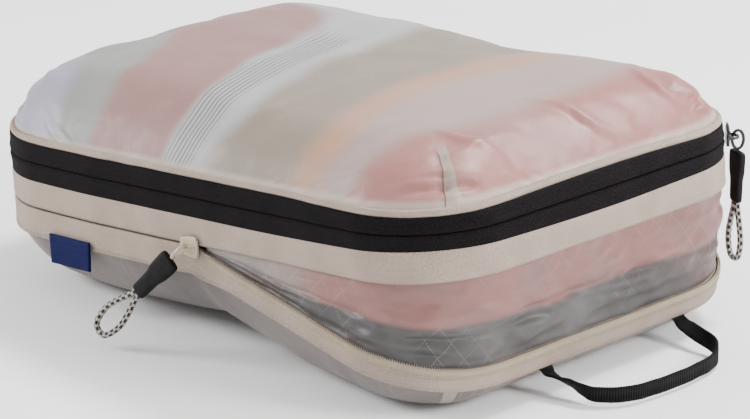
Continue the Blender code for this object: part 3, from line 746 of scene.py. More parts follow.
# The short folds beside each dart: (inset, half thickness, place beside the dart, reach, depth).
DART_FOLDS = (
    (0.0060, 0.0018, -0.0060, 0.0120, 0.0052), (0.0034, 0.0012, -0.0050, 0.0160, -0.0012),
    (0.0104, 0.0020, -0.0060, 0.0090, 0.0030), (0.0082, 0.0014, -0.0080, 0.0130, -0.0012),
    (0.0056, 0.0016, 0.0150, 0.0070, 0.0024), (0.0170, 0.0026, -0.0060, 0.0080, 0.0020),
    (0.0230, 0.0024, 0.0160, 0.0160, -0.0014),
)


def lid_height(x, y, inset):
    side = LID_SIDE * (1 - math.exp(-inset / LID_SIDE_REACH))
    crown = LID_CROWN * (1 - (2 * x / LENGTH) ** 2) * (1 - (2 * y / WIDTH) ** 2)
    left = LID_LEFT * smooth((LID_LEFT_FROM - x) / LID_LEFT_OVER) * (1 - math.exp(-inset / LID_LEFT_REACH))
    held = 1 - math.exp(-inset / RIM_FADE)
    lumps = 0.0022 * wander(x, y, 0, 0.080, 5.2) + 0.0009 * wander(x, y, 0, 0.030, 1.7)
    creases = sum(height * ridge(x, y, points, width) for points, width, height in LID_CREASES)
    return LID_LOW + side + crown + left + held * (lumps + creases)


SLOPE_STEPS = 60  # one for each millimetre in from the rim


def slope_lengths():
    """Extra length of the lid's slope beyond its plan, by inset, so that the cloth map isn't stretched."""
    table = [0.0]
    for k in range(SLOPE_STEPS, 0, -1):
        rise = LID_SIDE / LID_SIDE_REACH * math.exp(-(k - 0.5) * 0.001 / LID_SIDE_REACH)
        table.append(table[-1] + (math.hypot(1, rise) - 1) * 0.001)
    return table[::-1]


SLOPE_EXTRA = slope_lengths()


def square_skin(name, spot_at, maps):
    """A skin over the whole outline. maps is {map: function(spot, the face's first spot)}."""
    columns = [-1 + 2 * i / GRID_X for i in range(GRID_X + 1)]
    height = [-1 + 2 * j / GRID_Y for j in range(GRID_Y + 1)]
    spots = [[spot_at(*rim_place(u, v)) for v in height] for u in columns]

    def on_grid(mapping):
        return lambda i, j, face: mapping(spots[i][j], spots[face[0]][face[1]])

    rows = [[spot.point for spot in column] for column in spots]
    mesh = grid_mesh(name, rows, False, {label: on_grid(mapping) for label, mapping in maps.items()})
    return add_object(name, mesh), [spot for column in spots for spot in column]


def dart_map(spot, first):
    """Distance from one dart for a whole face, so that the map doesn't jump inside it."""
    dart = first.s - nearest_dart(first.s)
    off = nearest_dart(spot.s)
    share = 1.0 if abs(off) < 1e-9 else spot.away / off
    away = (spot.s - dart + PERIMETER / 2) % PERIMETER - PERIMETER / 2
    return away * share, spot.height


def lid_cloth(spot, first):
    extra = SLOPE_EXTRA[min(int(spot.inset * 1000), SLOPE_STEPS)]
    return spot.x + spot.nx * extra, spot.y + spot.ny * extra


def lid_plan(spot, first):
    """Where a point lies across the lid's colour bands, which lean and spread towards the rear."""
    flat_x, y = lid_cloth(spot, first)
    x = flat_x * 0.97
    lean = BAND_LEAN * math.exp(-(x + 0.008) / BAND_LEAN_FADE) * (y + WIDTH / 2 - 0.002)
    front = 0.4 * max(-0.060 - y, 0) * smooth((x - 0.09) / 0.03)
    near_rim = 0.008 * smooth((-0.105 - y) / 0.045) * smooth((0.06 - x) / 0.04)
    return x + lean + front + near_rim, y


def lid_dart(spot, first):
    away, height = dart_map(spot, first)
    return (away if first.y < 0 else NO_DART), height


def simulate(piece, pinned, free, pressure=1.5, growth=0.012, frames=18, cap=0.0028):
    """Let a skin fill and wrinkle as cloth.

    Points move at most about the cap from where they start, times their share in free.
    """
    group = piece.vertex_groups.new(name="pinned")
    group.add(pinned, 1.0, "REPLACE")
    before = np.array([v.co for v in piece.data.vertices])
    cloth = piece.modifiers.new("cloth", "CLOTH")
    settings = {
        "vertex_group_mass": "pinned", "use_pressure": True, "uniform_pressure_force": pressure,
        "shrink_min": -growth, "mass": 0.10, "tension_stiffness": 20, "compression_stiffness": 20,
        "shear_stiffness": 8, "bending_stiffness": 0.15,
    }
    for key, value in settings.items():
        setattr(cloth.settings, key, value)
    cloth.settings.effector_weights.gravity = 0.0
    cloth.point_cache.frame_start = 1
    cloth.point_cache.frame_end = frames
    scene = bpy.context.scene
    for number in range(1, frames + 1):
        scene.frame_set(number)
    depsgraph = bpy.context.evaluated_depsgraph_get()
    moved = np.array([v.co for v in piece.evaluated_get(depsgraph).data.vertices])
    scene.frame_set(1)
    piece.modifiers.remove(cloth)
    piece.vertex_groups.clear()
    shift = moved - before
    length = np.linalg.norm(shift, axis=1, keepdims=True)
    shift *= cap * np.tanh(length / cap) / np.maximum(length, 1e-9) * np.array(free)[:, None]
    piece.data.vertices.foreach_set("co", (before + shift).ravel())
    piece.data.update()


def lid_spot(s, share):
    spread = 1 - (1 - share) ** LID_SPREAD
    rim_x, rim_y, nx, ny = outline(s)
    # Near the rim the grid runs square to it, and further in towards the middle.
    square_on = 1 - smooth((1 - spread) / RIM_SHARE)
    reach = INSET_SCALE * (1 - spread)
    lean = dart_lean(s) * reach
    x = rim_x * spread * (1 - square_on) + (rim_x - nx * reach - ny * lean) * square_on
    y = rim_y * spread * (1 - square_on) + (rim_y - ny * reach + nx * lean) * square_on
    inset = inset_at(x, y)
    away = nearest_dart(s) * (1 - inset / CORNER) if inset < CORNER else 0.0
    z = lid_height(x, y, inset) - CORNER_NARROWING * corner_share(x, y) * math.exp(-inset / RIM_FADE)
    # The dart is a sharp valley, with small puckers and folds running out of it.
    fade = smooth((DART_END - inset) / 0.012)
    valley = 0.0020 * fade * math.exp(-((away / DART_HALF) ** 2)) * smooth(inset / 0.003)
    pucker = 0.0011 * fade * math.exp(-abs(away) / 0.013) * math.sin(inset / 0.0019 + away / 0.006)
    folds = sum(
        depth * math.exp(-(((inset - at) / thick) ** 2) - ((away - off) / length) ** 2)
        for at, thick, off, length, depth in DART_FOLDS
    )
    push = LID_INSIDE + sway(rim_x, rim_y, LID_LOW) - valley + pucker * smooth(inset / 0.004) - folds
    point = ring(x + nx * push, y + ny * push, z - 0.6 * (valley + folds))
    return Spot(point, s, share, x, y, nx, ny, inset, away, z)


def build_lid_skin():
    item, spots = square_skin("lid_skin", lid_spot, {"cloth": lid_cloth, "plan": lid_plan, "dart": lid_dart})
    pinned = [k for k, spot in enumerate(spots) if spot.share == 1]
    # The stitched darts and their folds are stiff, and hardly give.
    free = []
    for spot in spots:
        beside = math.exp(-((nearest_dart(spot.s) / 0.028) ** 2))
        free.append(1 - 0.85 * beside * smooth((0.040 - spot.inset) / 0.012))
    simulate(item, pinned, free)
    item = thicken(item, SKIN, subdivide=1)
    dress(item, "ripstop_top", "lid", ["lid_panel"])


# ---- The base's skin ----
WALL_SHARE = 0.74  # this share of the way out is underside, and the rest is wall
BASE_INSIDE, BASE_TUCK = 0.0010, 0.0012  # the wall starts this far inside the lower tape and up behind it


def soft_inset(share):
    turn = math.pi / 2 * share
    return SOFT_EDGE * share + (1 - SOFT_EDGE) * (1 - math.cos(turn))


def underside(x):
    if x < FOLD_X:
        share = (x - LEFT_REST) / (FOLD_X - LEFT_REST)
    else:
        share = (RIGHT_REST - x) / (RIGHT_REST - FOLD_X)
    return KINK_HEIGHT * max(share, 0.0) ** 1.4


def edge_round(x):
    return LEFT_ROUND + (RIGHT_ROUND - LEFT_ROUND) * (x + LENGTH / 2) / LENGTH


def base_point(s, share):
    """A point of the base's wall or underside. share is 1 at the tape and 0 at the middle."""
    x, y, nx, ny = outline(s)
    push = sway(x, y, LOWER_TAPE_BOTTOM) - BASE_INSIDE
    top = base(x + nx * push, y + ny * push, LOWER_TAPE_BOTTOM + BASE_TUCK + OPEN_RISE * opening(x))
    inset = edge_round(x)
    foot = base(x - nx * inset, y - ny * inset, LOWER_TAPE_BOTTOM)
    foot.z = underside(foot.x - RING_ORIGIN.x)
    if share >= WALL_SHARE:
        q = (1 - share) / (1 - WALL_SHARE)
        point = top.lerp(foot, soft_inset(q)) + Vector((nx, ny, 0)) * SIDE_BULGE * math.sin(math.pi * q)
        point.z = top.z + (foot.z - top.z) * math.sin(math.pi / 2 * q)
        away = nearest_dart(s)
        fade = math.sin(math.pi * min(q, 1)) ** 0.5 if q > 0 else 0
        soft = 0.0016 * wander(point.x, point.y, point.z, 0.030, 8.8) * fade
        valley = 0.0010 * math.exp(-((away / DART_HALF) ** 2)) * fade
        return point + Vector((nx, ny, 0)) * (soft - valley - 0.0006 * fade)
    q = share / WALL_SHARE
    point = Vector((RING_ORIGIN.x, RING_ORIGIN.y, 0)).lerp(foot, q)
    lift = 0.0008 * (1 + wander(point.x, point.y, 0, 0.040, 4.4)) * (1 - q)
    point.z = underside(point.x - RING_ORIGIN.x) + lift
    return point


def base_spot(s, share):
    x, y, nx, ny = outline(s)
    point = base_point(s, share)
    return Spot(point, s, share, x, y, nx, ny, 0.0, nearest_dart(s), point.z)


def base_cloth(spot, first):
    return spot.point.x - spot.nx * spot.height * 0.8, spot.point.y - spot.ny * spot.height * 0.8


def base_plan(spot, first):
    return 0.44 + 0.25 * wander(spot.x, spot.y, spot.height, 0.060, 2.2), 0.15


def base_dart(spot, first):
    away, height = dart_map(spot, first)
    return (away if spot.share > WALL_SHARE * 0.92 else NO_DART), height


def build_base_skin():
    maps = {"cloth": base_cloth, "plan": base_plan, "dart": base_dart}
    item, _ = square_skin("base_skin", base_spot, maps)
    item.data.flip_normals()
    item = thicken(item, SKIN, subdivide=1)
    dress(item, "ripstop_base", None, both_sides("base_wall", "bottom_panel"))
    across_fold(item)


def across_fold(item):
    """Bake the piece's place into its mesh. Its bend between the closed left part and the hanging right part
    is already in its points.
    """
    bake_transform(item)


# ---- The gusset ----
GUSSET_ROWS = 30
GUSSET_INSIDE = -0.0030
GUSSET_START = 0.009  # the gusset begins this far right of the fold
OPEN_FULL = 0.040  # where it is this much wider than its seams, its folds are at full depth


# The gusset's creases: place up the gusset and width, as shares of its height, and depth.
PLEAT, TUCK = (0.46, 0.055, 0.0052), (0.15, 0.060, 0.0050)
CRUMPLE, UPPER_FOLD = (0.34, 0.050, 0.0034), (0.72, 0.050, 0.0022)


def crease(shape, t, shift):
    """The depth at t of a crease that is steep on its lower side and soft above."""
    middle, width, depth = shape
    off = (t - middle - shift) / width
    return depth * (math.exp(-abs(off) ** 1.3) if off > 0 else math.exp(-((off / 0.55) ** 2)))


def gusset_point(s, t):
    """t is 0 at the lower tape and 1 at the upper one."""
    x, y, nx, ny = outline(s)
    px, py = x + nx * GUSSET_INSIDE, y + ny * GUSSET_INSIDE
    upper = ring(px, py, FOLD_Z + EDGE_HEIGHT)
    lower = fold(px, py, FOLD_Z - EDGE_HEIGHT)
    spare = (upper - lower).length - 2 * EDGE_HEIGHT
    share = min(max(spare, 0) / OPEN_FULL, 1.0)
    drift = 0.05 * wander(x, y, 0, 0.045, 6.1)
    near_slider = smooth((0.130 - x) / 0.060) if y < 0 else 0.0
    pleat = crease(PLEAT, t, drift) * (0.55 + 0.45 * near_slider)
    tuck = crease(TUCK, t, -drift) * (0.35 + 0.65 * near_slider)
    crumple = crease(CRUMPLE, t, 2.2 * drift) * smooth(wander(x, y, 2, 0.035, 9.3) + 0.75)
    upper_fold = crease(UPPER_FOLD, t, 2 * drift) * max(wander(x, y, 2, 0.05, 9.3) + 0.35, 0)
    swell = 0.0026 * math.sin(math.pi * t)
    point = lower.lerp(upper, t)
    rumple = 0.0030 * wander(point.x, point.y, 2.4 * point.z, 0.024, 3.7)
    fine = 0.0014 * (1 - 2 * abs(wander(point.x, point.y, 2.6 * point.z, 0.016, 5.9)))
    hold = math.sin(math.pi * min(max(t, 0), 1)) ** 0.5
    folds = pleat + crumple + tuck + upper_fold
    out = share * hold * (swell - folds + rumple + fine - 0.0012)
    return point + Vector((nx, ny, 0)) * out


def build_gusset():
    places = stations(front_at(FOLD_X + GUSSET_START), rear_at(FOLD_X + GUSSET_START), 0.0024)
    rows = [[gusset_point(s, j / GUSSET_ROWS) for j in range(GUSSET_ROWS + 1)] for s in places]

    def cloth(i, j, face):
        x, y, _, _ = outline(places[i])
        return places[i], (ring(x, y, FOLD_Z) - fold(x, y, FOLD_Z)).length * j / GUSSET_ROWS

    def plan(i, j, face):
        """How far up into the pink cloth, and how far along to the right."""
        x, y, _, _ = outline(places[i])
        warm = smooth((j / GUSSET_ROWS - 0.43 - 0.07 * wander(x, y, 3, 0.05)) / 0.07)
        return warm, smooth((x - 0.055) / 0.055)

    def dart(i, j, face):
        return NO_DART, 0.0

    mesh = grid_mesh("gusset_skin", rows, False, {"cloth": cloth, "plan": plan, "dart": dart})
    item = thicken(add_object("gusset_skin", mesh), SKIN, subdivide=1)
    dress(item, "ripstop_base", "cube", ["gusset"])
    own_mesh(item)


# ---- Bands, tapes and coils ----
def opening_upper(x, y, z):
    """The upper tape, whose edge draws back from its teeth where the zip is open."""
    near = smooth(1 - (z - FOLD_Z) / EDGE_HEIGHT)
    return ring(x, y, z + OPEN_DRAW * near * opening(x))


def opening_lower(x, y, z):
    """The lower tape, which is narrower where the zip is open."""
    low = smooth((FOLD_Z - 0.006 - z) / 0.010)
    return base(x, y, z + OPEN_RISE * low * opening(x))


def build_binding():
    """The rolled seam binding round the lid's foot."""
    middle = TAPE_EDGE + GAP + BINDING_RADIUS
    points = []
    for s in ALL_ROUND:
        x, y, nx, ny = outline(s)
        push = sway(x, y, middle) - 0.0026
        lift = 0.0003 * wander(x, y, 1, 0.014, 4.1) - CORNER_NARROWING * corner_share(x, y)
        points.append(ring(x + nx * push, y + ny * push, middle + lift))

    def roll(i, angle):
        return 1.0 + 0.06 * wander(0.3 * i, math.cos(angle), math.sin(angle), 1.5, 2.2)

    binding = tube("lid_binding_roll", points, BINDING_RADIUS, 14, True, roll)
    dress(binding, "cream_fabric", "lid", ["lid_binding"])


def build_bands():
    upper = profile(
        (-1.6, 0.12), (-0.7, 0.18), (-0.1, 0.5), (0.4, 1.3), (0.6, 2.4),
        (0.4, 3.7), (0.1, 5.2), (0.0, 7.6), (0.0, 9.0), (-0.2, 11.0),
    )
    lower = [(out, -z) for out, z in reversed(upper)]
    for label, section, body in (("upper", upper, "lid"), ("lower", lower, "cube")):
        piece = strip(f"main_zip_{label}_cloth", ZIP_ROUND, section, zip_place)
        dress(piece, "black_tape", body, [f"main_zip_{label}_tape"])

    hinge = profile((-0.6, -10.4), (0.0, -8.0), (0.5, -4.0), (0.6, 0.0), (0.4, 5.0), (-0.4, 10.0))
    hinge_end = STRAIGHT_X - 0.001
    piece = strip("hinge_cloth", stations(-hinge_end, hinge_end), hinge, ring, ripple=0.0003)
    dress(piece, "cream_fabric", "cube", ["hinge_panel"])

    band = profile(
        (-0.2, 0.9), (0.2, 1.5), (0.3, 3.0), (0.2, 7.0),
        (0.3, 11.0), (0.3, 14.8), (-0.2, 15.7), (-1.0, 16.5), foot=FOLD_Z,
    )
    piece = strip("mid_band_cloth", ALL_ROUND, band, band_under_zip, closed=True)
    dress(piece, "cream_fabric", "cube", ["mid_band"])

    upper = profile((-0.8, 0.35), (-0.4, 0.6), (-0.5, 1.2), (-0.8, 2.5), (-0.8, 7.0), foot=FOLD_Z)
    piece = strip("compression_upper_cloth", ALL_ROUND, upper, opening_upper, closed=True)
    dress(piece, "cream_tape", "cube", ["compression_upper_tape"])

    lower = profile(
        (-0.4, -16.4), (0.4, -16.0), (0.4, -13.0), (0.3, -9.0), (0.2, -5.5),
        (0.2, -3.5), (0.2, -2.0), (-0.1, -0.8), (-0.7, -0.35), foot=FOLD_Z,
    )
    piece = strip("compression_lower_cloth", ALL_ROUND, lower, opening_lower, closed=True, ripple=0.0002)
    dress(piece, "cream_tape", None, both_sides("compression_lower_tape"))
    across_fold(piece)


def build_coil_tape():
    """The lower coil's own yellowish tape, which shows where the zip is open."""
    places = stations(front_at(FOLD_X + 0.014), rear_at(FOLD_X + 0.014))
    section = profile((0.4, -5.4), (0.9, -5.0), (0.9, -1.6), (0.3, -0.6), foot=FOLD_Z)
    dress(strip("coil_tape", places, section, base, 0.0003), "coil_tape", "base_right")


# Half height, half depth, place out from the outline, and wire radius.
MAIN_COIL = (0.0009, 0.0007, -0.0022, 0.00032)
COMPRESSION_COIL = (0.00130, 0.00045, -0.0023, 0.00030)
TEETH_APART = 0.00005  # half the slit between two closed coils


def coil(name, side, line_z, shape, place, start=0, end=PERIMETER):
    """A zip's half coil: a flattened helix along the outline. side is 1 above the line, -1 below."""
    half_height, half_depth, out, wire = shape
    closed = end - start == PERIMETER
    per_turn = 7
    total = round((end - start) / COIL_PITCH) * per_turn
    points = []
    for k in range(total if closed else total + 1):
        turn = 2 * math.pi * k / per_turn
        z = line_z + side * (TEETH_APART + half_height + wire - half_height * math.cos(turn))
        s = start + (end - start) * k / total
        points.append(seam_point(place, s, out + half_depth * math.sin(turn), z))
    return tube(name, points, wire, 4, closed)


def build_coils():
    for side, body, label in ((1, "lid", "upper"), (-1, "cube", "lower")):
        name = f"main_zip_{label}_teeth"
        item = coil(name, side, 0.0, MAIN_COIL, ring, STRAIGHT_X, PERIMETER - STRAIGHT_X)
        dress(item, "black_coil", body, [f"main_zip_{label}_coil"])
    upper = coil("compression_upper_teeth", 1, FOLD_Z, COMPRESSION_COIL, ring)
    dress(upper, "cream_coil", "cube", ["compression_upper_coil"])
    lower = coil("compression_lower_teeth", -1, FOLD_Z, COMPRESSION_COIL, base)
    dress(lower, "cream_coil", None, both_sides("compression_lower_coil"))
    across_fold(lower)


# ---- Stitches ----
THREAD_RADIUS, THREAD_SIDES = 0.00017, 5
STITCH = ((0, 0.45), (1 / 3, 1.0), (2 / 3, 1.0), (1, 0.45))  # share of its length, share of its thickness


def stitches(name, start, end, out, z, place, pitch=0.0026, length=0.0017):
    """A row of short thread stitches along the outline, as one piece."""
    points, faces = [], []
    for n in range(round((end - start) / pitch)):
        first = len(points)
        for t, thick in STITCH:
            x, y, nx, ny = outline(start + pitch * n + length * t)
            push = out + sway(x, y, z) + 0.00018 * math.sin(math.pi * t)
            centre = place(x + nx * push, y + ny * push, z)
            up = (place(x, y, z + 0.001) - place(x, y, z)).normalized() * THREAD_RADIUS * thick
            outward = Vector((nx, ny, 0)) * THREAD_RADIUS * thick
            for side in range(THREAD_SIDES):
                angle = 2 * math.pi * side / THREAD_SIDES
                points.append(centre + up * math.cos(angle) + outward * math.sin(angle))
        starts = range(first, len(points), THREAD_SIDES)
        loops = [[start_at + side for side in range(THREAD_SIDES)] for start_at in starts]
        for low, high in zip(loops, loops[1:]):
            for side in range(THREAD_SIDES):
                after = (side + 1) % THREAD_SIDES
                faces.append((low[side], low[after], high[after], high[side]))
        faces.append(tuple(reversed(loops[0])))
        faces.append(tuple(loops[-1]))
    mesh = bpy.data.meshes.new(name)
    mesh.from_pydata(points, [], faces)
    mesh.shade_smooth()
    return add_object(name, mesh)


def build_stitches():
    foot = LOWER_TAPE_BOTTOM + 0.0016
    lower = stitches("stitches_lower_tape", 0, PERIMETER, 0.0005, foot, opening_lower)
    across_fold(dress(lower, "cream_coil"))
    # The front row starts past the slider's run, so the slider never runs over it.
    start, end = front_at(FOLD_X + SLIDER_RUN + 0.016), rear_at(FOLD_X + 0.020)
    row = stitches("stitches_lower_coil", start, end, 0.0011, FOLD_Z - 0.0042, base, 0.0021, 0.0013)
    dress(row, "cream_coil", "base_right")


# ---- Pulls: sleeves and cord loops ----
def lofted(name, centres, right, front, halves, power=2.6, around=20):
    """A closed soft form through superellipse sections. halves are (half width, half thickness)."""
    rows = []
    for centre, (a, b) in zip(centres, halves):
        row = []
        for k in range(around + 1):
            angle = 2 * math.pi * k / around
            c, s = math.cos(angle), math.sin(angle)
            x = a * math.copysign(abs(c) ** (2 / power), c)
            y = b * math.copysign(abs(s) ** (2 / power), s)
            row.append(centre + right * x + front * y)
        rows.append(row)

    def cloth(i, j, face):
        return (centres[i] - centres[0]).length, halves[i][0] * 2 * math.pi * j / around

    return closed_form(name, rows, cloth, 0.00001)


RING_LENGTH = 0.0104
# The sleeve's sections, in millimetres: how far down, half width and half thickness.
SLEEVE = (
    (0.0, 5.2, 1.5), (0.3, 6.1, 2.0), (1.2, 6.6, 2.3), (4.5, 6.6, 2.4), (8.5, 6.4, 2.4),
    (12.0, 6.0, 2.4), (14.0, 5.3, 2.3), (16.5, 4.7, 2.2), (21.0, 4.7, 2.2),
    (26.2, 4.6, 2.1), (28.2, 4.4, 2.0), (28.6, 3.6, 1.5),
)
LOOP_SIDE = ((0.0, 0.0016), (0.004, 0.0022), (0.012, 0.0048), (0.021, 0.0066))  # how far down and aside


def build_pull(prefix, joint, down, side, body, loop_length):
    """The moulded sleeve and the loop of cord that comes out of it."""
    pivot = Vector(JOINTS[joint]["pos_m"])
    top = RING_LENGTH - WIRE - 3 * GAP
    centres = [pivot + down * (top + low / 1000) for low, _, _ in SLEEVE]
    halves = [(w / 1000, t / 1000) for _, w, t in SLEEVE]
    face = down.cross(side).normalized()
    sleeve = lofted(f"{prefix}_sleeve", centres, side, face, halves, power=3.4, around=28)
    add_finer(sleeve, 1)
    dress(applied(sleeve), "black_pull", body, [f"{prefix}_pull_sleeve"])
    start = top + SLEEVE[-1][0] / 1000 + GAP

    def knot(low, aside):
        return pivot + down * (start + low) + side * aside

    knots = [knot(low, aside) for low, aside in LOOP_SIDE]
    knots += [knot(loop_length * 0.93, 0.0046), knot(loop_length, 0.0), knot(loop_length * 0.93, -0.0046)]
    knots += [knot(low, -aside) for low, aside in reversed(LOOP_SIDE)]
    path = smooth_curve(knots, 10)
    length = sum((b - a).length for a, b in zip(path, path[1:]))

    def braid(i, angle):
        return 0.94 + 0.06 * abs(math.sin(1.5 * i + 2 * angle))

    loop = tube(f"{prefix}_cord_loop", path, CORD_RADIUS * CORD_PLUMP, 12, squeeze=braid)
    dress(loop, "cord", body, [f"{prefix}_pull_cord"])
    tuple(path[0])


def build_pulls():
    down = Vector((-0.60, -0.30, -0.72)).normalized()
    side = down.cross(Vector((0, -1, 0))).normalized()
    build_pull("compression", "compression_pull_swing", down, side, "compression_pull", 0.033)
    # The main pull's sleeve and loop hang twisted a little out of the ring's plane.
    outward, along, twist = Vector((1, 1, 0)).normalized(), Vector((1, -1, 0)).normalized(), math.radians(24)
    side = along * math.cos(twist) + outward * math.sin(twist)
    build_pull("main", "main_pull_swing", Vector((0, 0, -1)), side, "main_pull", 0.032)


# ---- Sliders ----
BRIDGE_OUT = 0.0072  # the pull's pivot stands this far out from the slider's plate
EDGE_HALF, EDGE_STEPS = 0.0062, 14
STUD = ((0.0020, 0.0013), (0.0027, 0.0012), (0.0033, 0.0010), (0.0037, 0.0006))  # how far out, radius


def build_slider(prefix, along, outward, up, material):
    """The slider's rolled edges, which wrap the tape, and the two studs that carry the bridge."""
    body = f"{prefix}_slider"
    centre = Vector(JOINTS[f"{prefix}_pull_swing"]["pos_m"]) - outward * BRIDGE_OUT

    def taper(i, angle):
        return 0.55 + 0.45 * math.sin(math.pi * min(max(i / EDGE_STEPS, 0.08), 0.92)) ** 0.5

    for sign, label in ((1, "upper"), (-1, "lower")):
        points = []
        for i in range(EDGE_STEPS + 1):
            t = i / EDGE_STEPS
            half = 0.0037 + 0.0013 * smooth(t) + 0.0004 * math.sin(math.pi * t)
            points.append(centre + along * EDGE_HALF * (2 * t - 1) + up * sign * half + outward * 0.0016)
        edge = tube(f"{body}_edge_{label}", points, 0.00085, 12, squeeze=taper)
        dress(edge, material, body)
    for a, label in ((-0.0040, "left"), (0.0040, "right")):
        centres = [centre + along * a + outward * out for out, _ in STUD]
        halves = [(r, r * 1.25) for _, r in STUD]
        stud = lofted(f"{body}_stud_{label}", centres, along, up, halves, around=16)
        dress(stud, material, body)


def build_sliders():
    build_slider("compression", U, Vector((0, -1, 0)), W, "cream_slider")
    h = math.sqrt(0.5)
    build_slider("main", Vector((-h, h, 0)), Vector((h, h, 0)), Vector((0, 0, 1)), "black_slider")


# ---- Handle and label ----
HANDLE_FRONT_Y, HANDLE_REAR_Y = -0.038, 0.066
HANDLE_OUT, HANDLE_Z = 0.0020, LOWER_TAPE_BOTTOM - 0.0010
HANDLE_WIDTH, HANDLE_THICK, HANDLE_REACH = 0.0085, 0.0018, 0.0410


def build_handle():
    """Webbing from root to root: flat in the seam, on edge where it droops and turns."""
    front_root = fold(LENGTH / 2 + HANDLE_OUT, HANDLE_FRONT_Y, HANDLE_Z)
    rear_root = fold(LENGTH / 2 + HANDLE_OUT, HANDLE_REAR_Y, HANDLE_Z)
    middle = (front_root + rear_root) / 2
    half_span = (rear_root.y - front_root.y) / 2
    droop = HANDLE_WIDTH / 2 + 0.0012

    def knot(side, y_share, reach_share):
        z = front_root.z + (droop - front_root.z) * min(reach_share * 1.5, 1.0)
        return Vector((middle.x + HANDLE_REACH * reach_share, middle.y + side * half_span * y_share, z))

    shares = ((0.96, 0.30), (0.92, 0.62), (0.66, 0.90), (0.26, 1.0))
    inside = Vector((-0.0035, 0, 0))
    tucked = inside * 1.2 + W * 0.0036  # behind the lower tape
    knots = [front_root + tucked, front_root]
    knots += [knot(-1, *share) for share in shares]
    knots += [knot(1, *share) for share in reversed(shares)]
    knots += [rear_root, rear_root + tucked]
    centre = smooth_curve(knots, 10)
    last = len(centre) - 1
    half_w, half_t = HANDLE_WIDTH / 2, HANDLE_THICK / 2
    bevel, corner_steps = half_t * 0.8, 3
    rows = []
    for i, p in enumerate(centre):
        ahead = (centre[min(i + 1, last)] - centre[max(i - 1, 0)]).normalized()
        turn = math.pi / 2 * smooth(min(i, last - i) / (0.34 * last))
        first_half = 1 if i <= last / 2 else -1
        width = Vector((0, -first_half * math.cos(turn), math.sin(turn)))
        width = (width - ahead * width.dot(ahead)).normalized()
        face = ahead.cross(width).normalized()
        flex = 0.00015 * math.sin(0.9 * i)
        row = []
        for side_w, side_t, first in ((1, 1, 0), (-1, 1, 90), (-1, -1, 180), (1, -1, 270)):
            for k in range(corner_steps + 1):
                angle = math.radians(first + 90 * k / corner_steps)
                a = side_w * (half_w - bevel) + bevel * math.cos(angle)
                b = side_t * (half_t - bevel) + bevel * math.sin(angle)
                row.append(p + width * a + face * (b + flex))
        rows.append([*row, row[0].copy()])
    lengths = run_lengths(centre)

    def cloth(i, j, face):
        return lengths[i], HANDLE_WIDTH * (j / len(rows[0])) * 2.2

    item = closed_form("handle_web", rows, cloth, 0.00002)
    dress(item, "black_webbing", "handle", ["handle_webbing"])


LABEL_LEFT, LABEL_RIGHT = -0.1120, -0.0785
LABEL_STEPS, LABEL_COLUMNS = 10, 20


def build_label():
    """A folded woven loop, sewn in under the lower tape and left blank."""
    top, bottom = LOWER_TAPE_BOTTOM + 0.0050, LOWER_TAPE_BOTTOM - 0.0110
    near, far = -WIDTH / 2 - 0.0012, -WIDTH / 2 - 0.0026
    middle, reach = (near + far) / 2, (near - far) / 2
    down = [top + (bottom - top) * k / LABEL_STEPS for k in range(LABEL_STEPS + 1)]
    bend = [math.pi * k / 6 for k in range(1, 6)]
    loop = [(near, z) for z in down]
    loop += [(middle + reach * math.cos(turn), bottom - reach * math.sin(turn)) for turn in bend]
    loop += [(far, z) for z in reversed(down)]
    lengths = run_lengths(loop)
    rows = []
    for i in range(LABEL_COLUMNS + 1):
        along = i / LABEL_COLUMNS
        x = LABEL_LEFT + (LABEL_RIGHT - LABEL_LEFT) * along
        row = []
        for y, z in loop:
            low = (top - z) / (top - bottom)
            curl = -0.0010 * low * smooth(along) + 0.0004 * low * wander(x, y, z, 0.012, 1.3)
            row.append(ring(x, y + curl, z + 0.0006 * low * along))
        rows.append(row)

    def cloth(i, j, face):
        return (LABEL_RIGHT - LABEL_LEFT) * i / LABEL_COLUMNS, lengths[j]

    item = add_object("side_label_loop", grid_mesh("side_label_loop", rows, False, {"cloth": cloth}))
    dress(thicken(item, 0.00045), "label", "cube", ["side_label"])


def keep_cad_nodes():
    """The small fittings whose CAD shape is right, with better materials."""
    kept = {
        "cream_slider": ("compression_slider_body", "compression_slider_bridge", "compression_pull_ring"),
        "black_slider": ("main_slider_body", "main_slider_bridge", "main_pull_ring"),
        "black_pull": ("handle_anchor_front", "handle_anchor_rear"),
    }
    for material, nodes in kept.items():
        for name in nodes:
            for place in frame["nodes"][name].material_slots:
                place.material = M[material]



def build_zip_ends():
    """A cloth tab folded over each end of the main zip, by the hinge."""
    outer, inner = STRAIGHT_X + 0.003, STRAIGHT_X - 0.010
    section = profile((1.3, -9.2), (1.7, -7.0), (1.8, -4.0), (1.6, -1.0))
    for label, start, end in (("left", inner, outer), ("right", rear_at(outer), rear_at(inner))):
        piece = strip(f"zip_end_tab_{label}", stations(start, end, 0.0012), section, ring, ripple=0.0003)
        dress(piece, "cream_fabric", "cube", [f"main_zip_end_{label}"])


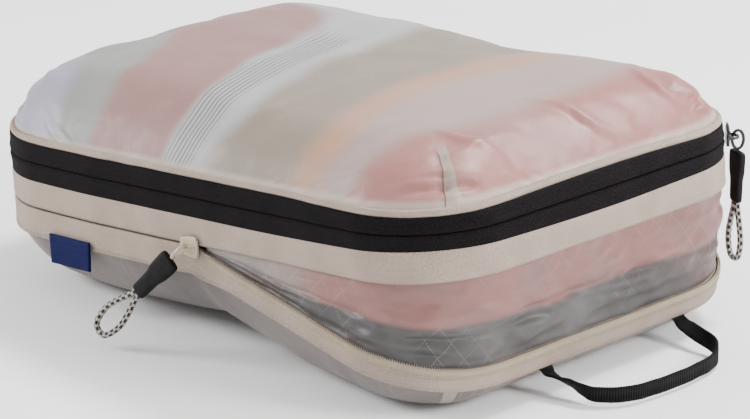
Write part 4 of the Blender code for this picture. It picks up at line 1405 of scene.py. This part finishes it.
# ---- Camera, light and floor ----
CAMERA_ELEVATION, CAMERA_AZIMUTH = math.radians(19), math.radians(45.2)
CAMERA_DISTANCE = 1.80
CAMERA_LENS = 162.8
CAMERA_TARGET = Vector((RING_ORIGIN.x + 0.053, RING_ORIGIN.y - 0.041, 0.070))
LIGHTS_AIM = Vector((0, 0, 0.06))
FLOOR_REACH, FLOOR_CELLS = 3.0, 24
FLOOR_DROP = 0.0006  # the floor lies just below the cube, so that they don't touch


def build_camera():
    e, a = CAMERA_ELEVATION, CAMERA_AZIMUTH
    back = Vector((math.sin(a) * math.cos(e), -math.cos(a) * math.cos(e), math.sin(e)))
    data = bpy.data.cameras.new("camera")
    data.lens = CAMERA_LENS
    data.sensor_width = 36
    camera = add_object("camera", data)
    camera.location = CAMERA_TARGET + back * CAMERA_DISTANCE
    camera.rotation_euler = (math.pi / 2 - e, 0, a)
    bpy.context.scene.camera = camera


def area_light(name, place, size, power):
    data = bpy.data.lights.new(name, "AREA")
    data.shape = "DISK"
    data.size = size
    data.energy = power
    light = add_object(name, data)
    light.location = place
    light.rotation_euler = (LIGHTS_AIM - Vector(place)).to_track_quat("-Z", "Y").to_euler()


def build_studio():
    world = bpy.data.worlds.new("studio")
    world.use_nodes = True
    background = world.node_tree.nodes["Background"]
    background.inputs["Color"].default_value = (1.0, 1.0, 1.0, 1.0)
    background.inputs["Strength"].default_value = 1.0
    bpy.context.scene.world = world
    area_light("top", (0.2, 1.0, 1.5), 0.5, 46)
    area_light("right", (1.6, 0.5, 0.9), 0.7, 38)
    area_light("left", (-1.3, -1.1, 0.9), 0.7, 36)
    mesh = bpy.data.meshes.new("floor")
    shape = bmesh.new()
    bmesh.ops.create_grid(shape, x_segments=FLOOR_CELLS, y_segments=FLOOR_CELLS, size=FLOOR_REACH)
    shape.to_mesh(mesh)
    shape.free()
    mesh.materials.append(M["floor"])
    floor = add_object("floor", mesh)
    floor.location.z = -FLOOR_DROP


make_materials()
build_camera()
build_pulls()
build_lid_skin()
build_base_skin()
build_gusset()
build_binding()
build_bands()
build_coils()
build_coil_tape()
build_stitches()
build_sliders()
build_handle()
build_label()
build_zip_ends()
keep_cad_nodes()
build_studio()
